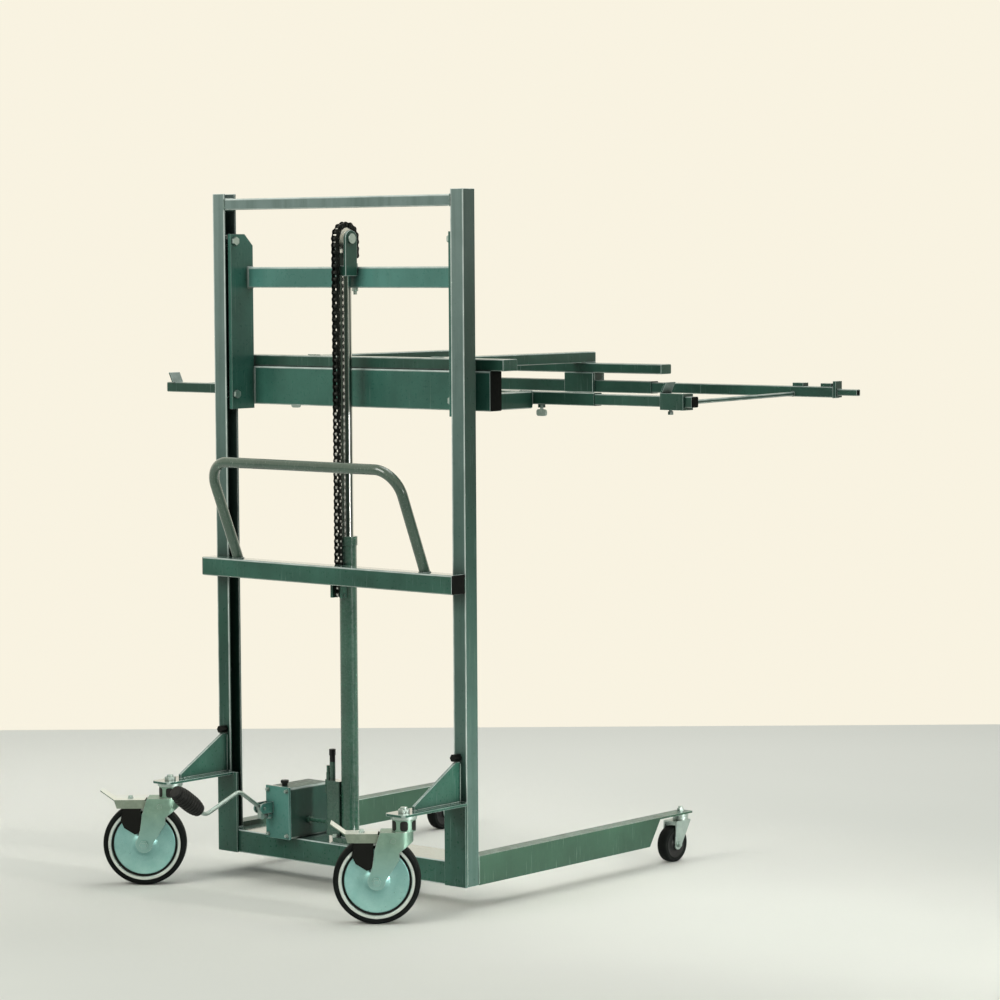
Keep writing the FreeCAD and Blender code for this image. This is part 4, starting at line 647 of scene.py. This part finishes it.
def make_swivel_reflections():
    """Thin black sheets in bands round each rear swivel housing: painted dark reflections."""
    count, first, middle_z, inner, outer = 6, -47.8, 0.2247, 0.0266, 0.0273
    shape = ((-19, 0.0060), (-16.5, 0.0092), (-10, 0.0110), (0, 0.0114), (10, 0.0110), (16.5, 0.0092),
             (19, 0.0060))
    for side, sign in SIDES:
        def build(work):
            for k in range(count):
                rows = []
                for turn, half in shape:
                    angle = math.radians(first + 360 // count * k + turn)
                    way = Vector((math.cos(angle), math.sin(angle), 0))
                    row = []
                    for radius, level in ((inner, -half), (outer, -half), (outer, half), (inner, half)):
                        spot = Vector((sign * REAR_X, REAR_Y, middle_z + level)) + way * radius
                        row.append(work.verts.new(spot))
                    rows.append(row)
                skin(work, rows, closed=False)
        name = side + "_painted_reflection_bands"
        piece(name, mesh_of(name, build), [RUBBER], side + "_rear_caster")


def make_grip():
    """The fat ribbed rubber foot grip on the end of the pump lever."""
    dip, end = Vector((-0.203, -0.267, 0.192)), Vector((-0.203, -0.361, 0.259))
    bore, middle, overhang, wall = 0.0052, 0.0002, 0.004, 0.003
    length, ribs = 0.096, 11
    way = (end - dip).normalized()
    tip = end + way * overhang
    step = length / ribs
    rib = ((0.0194, 0.08), (0.0210, 0.16), (0.0217, 0.28), (0.0217, 0.58), (0.0210, 0.70), (0.0194, 0.78),
           (0.0192, 0.93))
    outline = [(bore, 0.0), (0.0130, 0.0), (0.0148, 0.0005)]
    for k in range(ribs):
        bulge = 1 - 0.25 * abs(2 * k / (ribs - 1) - 1) ** 3
        for radius, share in rib:
            outline.append((radius * bulge, (k + share) * step))
    outline += [(0.0130, length - 0.0002), (0.0110, length), (middle, length), (middle, length - wall),
                (bore, length - wall)]
    seat = look_along(tip - way * length, way)
    turned("ribbed_grip", outline, seat, [RUBBER], "pump_lever", "pedal_grip",
           steps=56, degrees=40)


def link_outline(height):
    """One figure-eight chain plate, as points across and along the link."""
    radius = height / 2
    points = []
    for centre, first, way in ((0.0, 150.0, 1), (PITCH, -30.0, -1)):
        for k in range(11):
            angle = math.radians(first + 24 * k)
            points.append((radius * math.cos(angle), centre + radius * math.sin(angle)))
        points.append((radius * 0.76 * way, PITCH / 2))
    return points


def chain_link(work, low, high, inner, shrink):
    """A pair of plates with rollers, or with the riveted pins, between two pin centres (Y, Z)."""
    thick, middle = 0.0015, 0.0002
    if inner:
        height, inside, radius, reach = 0.0147, 0.00495, 0.00508, 0.0048
    else:
        height, inside, radius, reach = 0.0137, 0.00665, 0.00254, 0.00935
    start = Vector((0, *low))
    way = (Vector((0, *high)) - start).normalized()
    cross = way.cross(Vector(RIGHT))
    outline = link_outline(height * shrink)
    for sign in (-1, 1):
        rows = []
        for x in (inside * shrink, (inside + thick) * shrink):
            corner = start + Vector((sign * x, 0, 0))
            rows.append([work.verts.new(corner + cross * a + way * b) for a, b in outline])
        skin(work, rows)
    radius, reach = radius * shrink, reach * shrink
    barrel = [(middle, -reach), (radius * 0.75, -reach), (radius, -reach * 0.97), (radius, reach * 0.97),
              (radius * 0.75, reach), (middle, reach)]
    for end in (low, high):
        lathe(work, barrel, 18, look_along(Vector((0, *end)), RIGHT), [1] * len(barrel))


def chain(name, pins, first, body, replaces=(), shrink=1.0, pin=BLACK_PIN):
    """A run of links through a row of pins, numbered from first; even numbers are inner links."""
    def build(work):
        for k, (low, high) in enumerate(zip(pins, pins[1:])):
            chain_link(work, low, high, (first + k) % 2 == 0, shrink)
    obj = piece(name, mesh_of(name, build), [CHAIN, pin], body, replaces)
    smooth_by_angle(obj, 35)
    return obj


def make_chain():
    """The lift chain. The run behind the ram shortens into itself and the carriage run pays out in pairs."""
    fixed_shrink, pair_shrink = 0.975, 0.004
    back_y, front_y = RAM_Y - WRAP_RADIUS, RAM_Y + WRAP_RADIUS
    anchor_z = SPROCKET_Z - DEAD_LINKS * PITCH
    fixed = DEAD_LINKS - TRAVEL_LINKS
    dead = [(back_y, anchor_z + k * PITCH) for k in range(DEAD_LINKS + 1)]
    # The anchor run's bright pins are painted glints; the runs above it have dark pins.
    chain("anchor_links", dead[:fixed + 1], 0, "frame", ["chain_anchor_run"], fixed_shrink, GLINT_PIN)
    chain("rising_links", dead[fixed:], fixed, "ram")
    wrap = []
    for k in range(WRAP_LINKS):
        angle = math.pi - 2 * math.pi * k / TEETH
        wrap.append((RAM_Y + WRAP_RADIUS * math.cos(angle), SPROCKET_Z + WRAP_RADIUS * math.sin(angle)))
    last_y, last_z = wrap[-1]
    top_z = last_z - math.sqrt(PITCH ** 2 - (front_y - last_y) ** 2)
    wrap.append((front_y, top_z))
    chain("wrap_links", wrap, DEAD_LINKS, "ram", ["chain_sprocket_wrap"])
    live = [(front_y, top_z - k * PITCH) for k in range(LIVE_LINKS + 1)]
    first = DEAD_LINKS + WRAP_LINKS
    chain("carriage_links", live, first, "carriage", ["chain_carriage_run"])
    pairs = TRAVEL_LINKS // LIVE_LINKS
    for k in range(1, pairs + 1):
        share = 1 - k / pairs
        name = "slack_links_%02d" % k
        slack = chain(name, live, first, None if share else "ram", (), 1 - pair_shrink * k)
        if share:
            # The blend's line is so long that the whole pair lies at one point of it. The blend rises in a
            # smooth step, and this is the point where the step has reached the carriage's share.
            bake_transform(slack)


def make_welds():
    """Beads along the joints of the mast, base and handle, of the carriage, and of the slide-out frames."""
    inner, near, far, outer = 0.364, 0.366, 0.402, 0.4043
    back, front, seat = -0.0203, 0.0203, -0.0222
    shelf_z = 0.2523
    rail = [rect(X, inner, -0.0202, 0.0102, 1.622, 1.649)]
    tray = [[(inner, back, 0.056), (inner, back, 0.110), (inner, 0.019, 0.1102)]]
    leg = [[(near, front, 0.122), (0.4038, front, 0.122), (outer, front, 0.058)]]
    arm = [[(outer, back, 0.060), (outer, back, 0.250)],
           [(near, back, shelf_z), (0.374, back, shelf_z)],
           [(0.386, back, shelf_z), (0.403, back, shelf_z)]]
    gusset = [[(x, back, 0.342), (x, -0.0210, 0.2525), (x, -0.170, 0.2525)] for x in (0.3757, 0.3843)]
    crossbar = [[(near, seat, z), (far, seat, z)] for z in (0.7395, 0.7775)]
    handle = [circle_points((0.303, -0.0470, 0.7813), UP, radius=0.0130, count=20)]
    cylinder = [circle_points((0, RAM_Y, 0.1243), UP, radius=0.0214, count=32),
                rect(Z, 0.1103, -0.033, 0.033, RAM_Y - 0.033, RAM_Y + 0.033)]
    sides = both(rail + tray + leg + arm + gusset + crossbar + handle)
    welds("frame_welds", sides + cylinder, "frame", radius=0.0023)

    upper_bar = [rect(X, 0.3508, 0.043, 0.063, 1.434, 1.484)]
    plates = [[(x, 0.0629, 1.152), (x, 0.0629, 1.241)] for x in (0.3507, 0.3613)]
    arms = [rect(Y, 0.1183, 0.18, 0.22, 1.2432, 1.2698),
            [(0.18, 0.6449, 1.2433), (0.22, 0.6449, 1.2433), (0.22, 0.684, 1.2433)]]
    brackets = [rect(Y, 0.1032, 0.345, 0.385, 1.152, 1.190), rect(Y, 0.2449, 0.345, 0.385, 1.160, 1.190)]
    hangers = [[(0.157, y, z), (0.243, y, z)] for y, z in ((0.6447, 1.2190), (0.6500, 1.1708))]
    welds("carriage_welds", both(upper_bar + plates + arms + brackets + hangers), "carriage", radius=0.0022)

    for side, sign in SIDES:
        rods = [circle_points((sign * 0.841, y, z), AHEAD, radius=0.0056, count=14)
                for y, z in ((0.2728, 1.175), (0.6522, 1.180))]
        stops = [rect(X, sign * 0.9549, 0.6525, 0.6775, 1.1735, 1.1985),
                 rect(X, sign * 0.9632, 0.6575, 0.6725, 1.1785, 1.1935)]
        welds(side + "_slide_welds", rods + stops, side + "_slide_frame", radius=0.0016)


def make_bolts():
    """The small bolts of the cylinder's foot, the pump's plate and the brake pedals."""
    spread = (-0.0265, 0.0265)
    foot = [((x, RAM_Y + y, 0.124), UP) for x in spread for y in spread]
    bolts("cylinder_foot_bolts", foot, "frame", across=0.010)
    plate = [((x, -0.0500, z), BACK) for x in (-0.2075, -0.1455) for z in (0.119, 0.227)]
    bolts("pump_plate_bolts", plate, "frame", across=0.007)
    for side, sign in SIDES:
        spot = caster(sign) @ Vector((-0.096, 0, 0.2080))
        bolts(side + "_pedal_bolt", [(tuple(spot), UP)], side + "_rear_brake", across=0.010)


def make_plugs():
    """Black plugs in the open tubes, and welded green caps on the ends of the platform's beams and arms."""
    # A plug looks along its sideways direction crossed with up.
    outward = {1: AHEAD, -1: BACK}
    to_front = (-1, 0, 0)
    crossbar, beam, caps = [], [], []
    for sign in (1, -1):
        way = outward[sign]
        crossbar.append(((sign * 0.404, -0.0465, 0.7585), way, 0.0219, 0.0219, 0.0022))
        beam.append(((sign * 0.410, 0.083, 1.1965), way, 0.0194, 0.0459, 0.0018))
        caps.append(((sign * 0.445, 0.093, 1.2565), way, 0.0246, 0.0131, 0.0016))
        caps.append(((sign * 0.455, 0.665, 1.231), way, 0.0196, 0.0116, 0.0016))
        caps.append(((sign * 0.2, 0.685, 1.2565), to_front, 0.0196, 0.0131, 0.0016))
    plugs("crossbar_plugs", crossbar, "frame", CAP)
    # The lower beam's black plugs also stand as painted shade on the beam's ends.
    plugs("lower_beam_plugs", beam, "carriage", CAP)
    plugs("beam_caps", caps, "carriage", GREEN)
    for side, sign in SIDES:
        ends = [((sign * 0.850, 0.260, 1.175), outward[sign], 0.0121, 0.0121, 0.0015),
                ((sign * 1.018, 0.665, 1.186), outward[sign], 0.0054, 0.0054, -0.0006)]
        plugs(side + "_slide_plugs", ends, side + "_slide_frame", CAP)


def dress_nodes():
    """Materials and rounded edges for every CAD node that stays in view."""
    # Each row: material, tone of the edge for worn paint and a painted highlight, width of its rounding,
    # segments, nodes.
    rows = (
        (MAST_RIGHT, WORN_SHEEN_GREEN, 0.003, 3, "right_upright"),
        (MAST, WORN_SHEEN_GREEN, 0.003, 3, "left_upright"),
        (RAIL, WORN_SHEEN_GREEN, 0.003, 3, "top_rail"),
        (BEAM, WORN_SHEEN_GREEN, 0.003, 3, "carriage_lower_beam"),
        (BODY, WORN_SHEEN_GREEN, 0.0012, 2, "carriage_side_plates"),
        (GREEN, WORN_SHEEN_GREEN, 0.0026, 3, "base_tray"),
        (LEG, WORN_SHEEN_GREEN, 0.0018, 2, "left_leg", "right_leg"),
        (PALE, WORN_SHEEN_GREEN, 0.003, 3, "pump_block"),
        (BAR, WORN_SHEEN_GREEN, 0.003, 3, "carriage_upper_bar"),
        (TANK, WORN_SHEEN_GREEN, 0.0018, 2, "oil_tank"),
        (CROSSBAR, WORN_SHEEN_GREEN, 0.0018, 2, "handle_crossbar"),
        (GREEN, WORN_SHEEN_GREEN, 0.0018, 2, "left_caster_arm", "right_caster_arm"),
        (GREEN, WORN_SHEEN_GREEN, 0.0012, 2, "chain_anchor", "ram_clevis"),
        (SHADED, WORN_SHEEN_GREEN, 0.0012, 2, "platform_beams", "fork_arms", "slide_sleeves", "sleeve_brackets",
         "left_slide_frame", "right_slide_frame"),
        (ROUND, None, 0.0006, 2, "lift_cylinder", "cylinder_gland", "valve_body", "oil_pipes"),
        (HANDLE, None, 0.0006, 2, "push_handle"),
        (FORK, WORN_SHEEN_ZINC, 0.0007, 2, "left_rear_fork", "right_rear_fork"),
        (ZINC, WORN_SHEEN_ZINC, 0.0007, 2, "left_front_fork", "right_front_fork", "swivel_heads",
         "left_clamp_screw", "right_clamp_screw", "pump_lever"),
        (PEDAL, None, 0.0005, 2, "left_rear_brake_pedal", "right_rear_brake_pedal"),
        (KNOBS, None, 0.0005, 2, "frame_fasteners"),
        (ZINC, None, 0.0005, 2, "carriage_fasteners", "sprocket_pin"),
        (BRIGHT, None, 0.0006, 2, "chain_sprocket"),
        (STEEL, None, 0.0006, 2, "pump_plunger", "left_upper_roller", "right_upper_roller",
         "left_lower_roller", "right_lower_roller"),
        (CHROME, None, 0.0006, 2, "ram_rod"),
        (PLASTIC, None, 0.0009, 2, "filler_cap", "valve_knob"),
    )
    for material, edge, width, segments, *names in rows:
        for name in names:
            soften(name, material, edge, width, segments)


def make_floor():
    """A pale floor with painted light that grows away from the camera, ending square to the camera's view
    behind the truck.
    """
    reach, end = 40, 10.6
    ahead = Vector((-math.sin(YAW), math.cos(YAW), 0))
    across = Vector((math.cos(YAW), math.sin(YAW), 0))
    below = Vector((EYE[X], EYE[Y], 0))
    spots = ((-reach, -reach), (-reach, reach), (end, reach), (end, -reach))
    corners = [below + ahead * d + across * w for d, w in spots]
    mesh = bpy.data.meshes.new("floor")
    mesh.from_pydata([tuple(c) for c in corners], [], [(0, 1, 2, 3)])
    paint = Paint("pale_floor", (0.68, 0.69, 0.62), 0.9, Specular_IOR_Level=0.05)
    cloud = paint.ramp(paint.noise(0.8, 3.0), 0.3, 0.7)
    tone = paint.mix(cloud, (0.67, 0.683, 0.615), (0.70, 0.712, 0.64))
    depth = paint.node("VectorMath", {0: paint.place}, operation="DOT_PRODUCT")
    depth.inputs[1].default_value = ahead
    # Painted light: the floor's tone grows paler away from the camera.
    floor_painted_light = paint.ramp(depth.outputs["Value"], -0.6, 2.2)
    paint.feed("Base Color", paint.mix(floor_painted_light, tone, (0.80, 0.805, 0.725)))
    floor = piece("floor", mesh, [paint.material], None)


def make_world():
    """Soft light from all round, and a warm pale background for the camera and for reflections."""
    world = bpy.data.worlds.new("studio")
    scene.world = world
    world.use_nodes = True
    tree = world.node_tree
    tree.nodes.clear()

    def background(colour, strength):
        made = tree.nodes.new("ShaderNodeBackground")
        made.inputs["Color"].default_value = (*colour, 1)
        made.inputs["Strength"].default_value = strength
        return made.outputs[0]

    path = tree.nodes.new("ShaderNodeLightPath")
    seen = tree.nodes.new("ShaderNodeMath")
    seen.operation = "MAXIMUM"
    tree.links.new(path.outputs["Is Camera Ray"], seen.inputs[0])
    tree.links.new(path.outputs["Is Glossy Ray"], seen.inputs[1])
    mixed = tree.nodes.new("ShaderNodeMixShader")
    tree.links.new(seen.outputs[0], mixed.inputs[0])
    tree.links.new(background((0.93, 0.97, 1.0), 0.42), mixed.inputs[1])
    tree.links.new(background((0.945, 0.895, 0.755), 1.0), mixed.inputs[2])
    out = tree.nodes.new("ShaderNodeOutputWorld")
    tree.links.new(mixed.outputs[0], out.inputs[0])


def lamp(name, place, aim, size, watts, colour, spread=180.0):
    """A square area lamp that the camera doesn't see; the spread of its beam is in degrees."""
    data = bpy.data.lights.new(name, "AREA")
    data.size = size
    data.spread = math.radians(spread)
    data.energy = watts
    data.color = colour
    obj = bpy.data.objects.new(name, data)
    scene.collection.objects.link(obj)
    obj.location = place
    obj.rotation_euler = (Vector(aim) - Vector(place)).to_track_quat("-Z", "Y").to_euler()
    obj.visible_camera = False


def make_light():
    """A large key lamp from the handle's side, a narrow low fill from the right, and a top lamp."""
    lamp("key", (-1.2, -4.6, 3.9), (0, 0, 0.8), size=2.6, watts=150, colour=(1.0, 0.98, 0.94))
    lamp("fill", (6.0, 0.3, 1.0), (0.4, 0.3, 0.1), size=0.7, watts=7, colour=(1.0, 0.99, 0.95), spread=22.0)
    lamp("top", (0.4, 1.4, 4.2), (0, 0.2, 0.6), size=2.8, watts=90, colour=(1.0, 1.0, 1.0))


def make_camera():
    """The photograph's camera, from its eye point and its turn, tilt and roll."""
    ahead = Vector((-math.sin(YAW) * math.cos(TILT), math.cos(YAW) * math.cos(TILT), -math.sin(TILT)))
    right = Vector((math.cos(YAW), math.sin(YAW), 0))
    up = right.cross(ahead)
    level = right * math.cos(ROLL) + up * math.sin(ROLL)
    upright = up * math.cos(ROLL) - right * math.sin(ROLL)
    turn = Matrix((level, upright, -ahead)).transposed().to_4x4()
    data = bpy.data.cameras.new("camera")
    data.sensor_width = SENSOR
    data.lens = LENS
    data.clip_end = 100
    obj = bpy.data.objects.new("camera", data)
    scene.collection.objects.link(obj)
    obj.matrix_world = Matrix.Translation(EYE) @ turn
    scene.camera = obj


dress_nodes()
make_rear_wheels()
make_front_wheels()
make_swivel_reflections()
make_grip()
make_chain()
make_welds()
make_bolts()
make_plugs()
make_floor()
make_world()
make_light()
make_camera()
scene.view_settings.view_transform = "Standard"

bpy.context.view_layer.update()
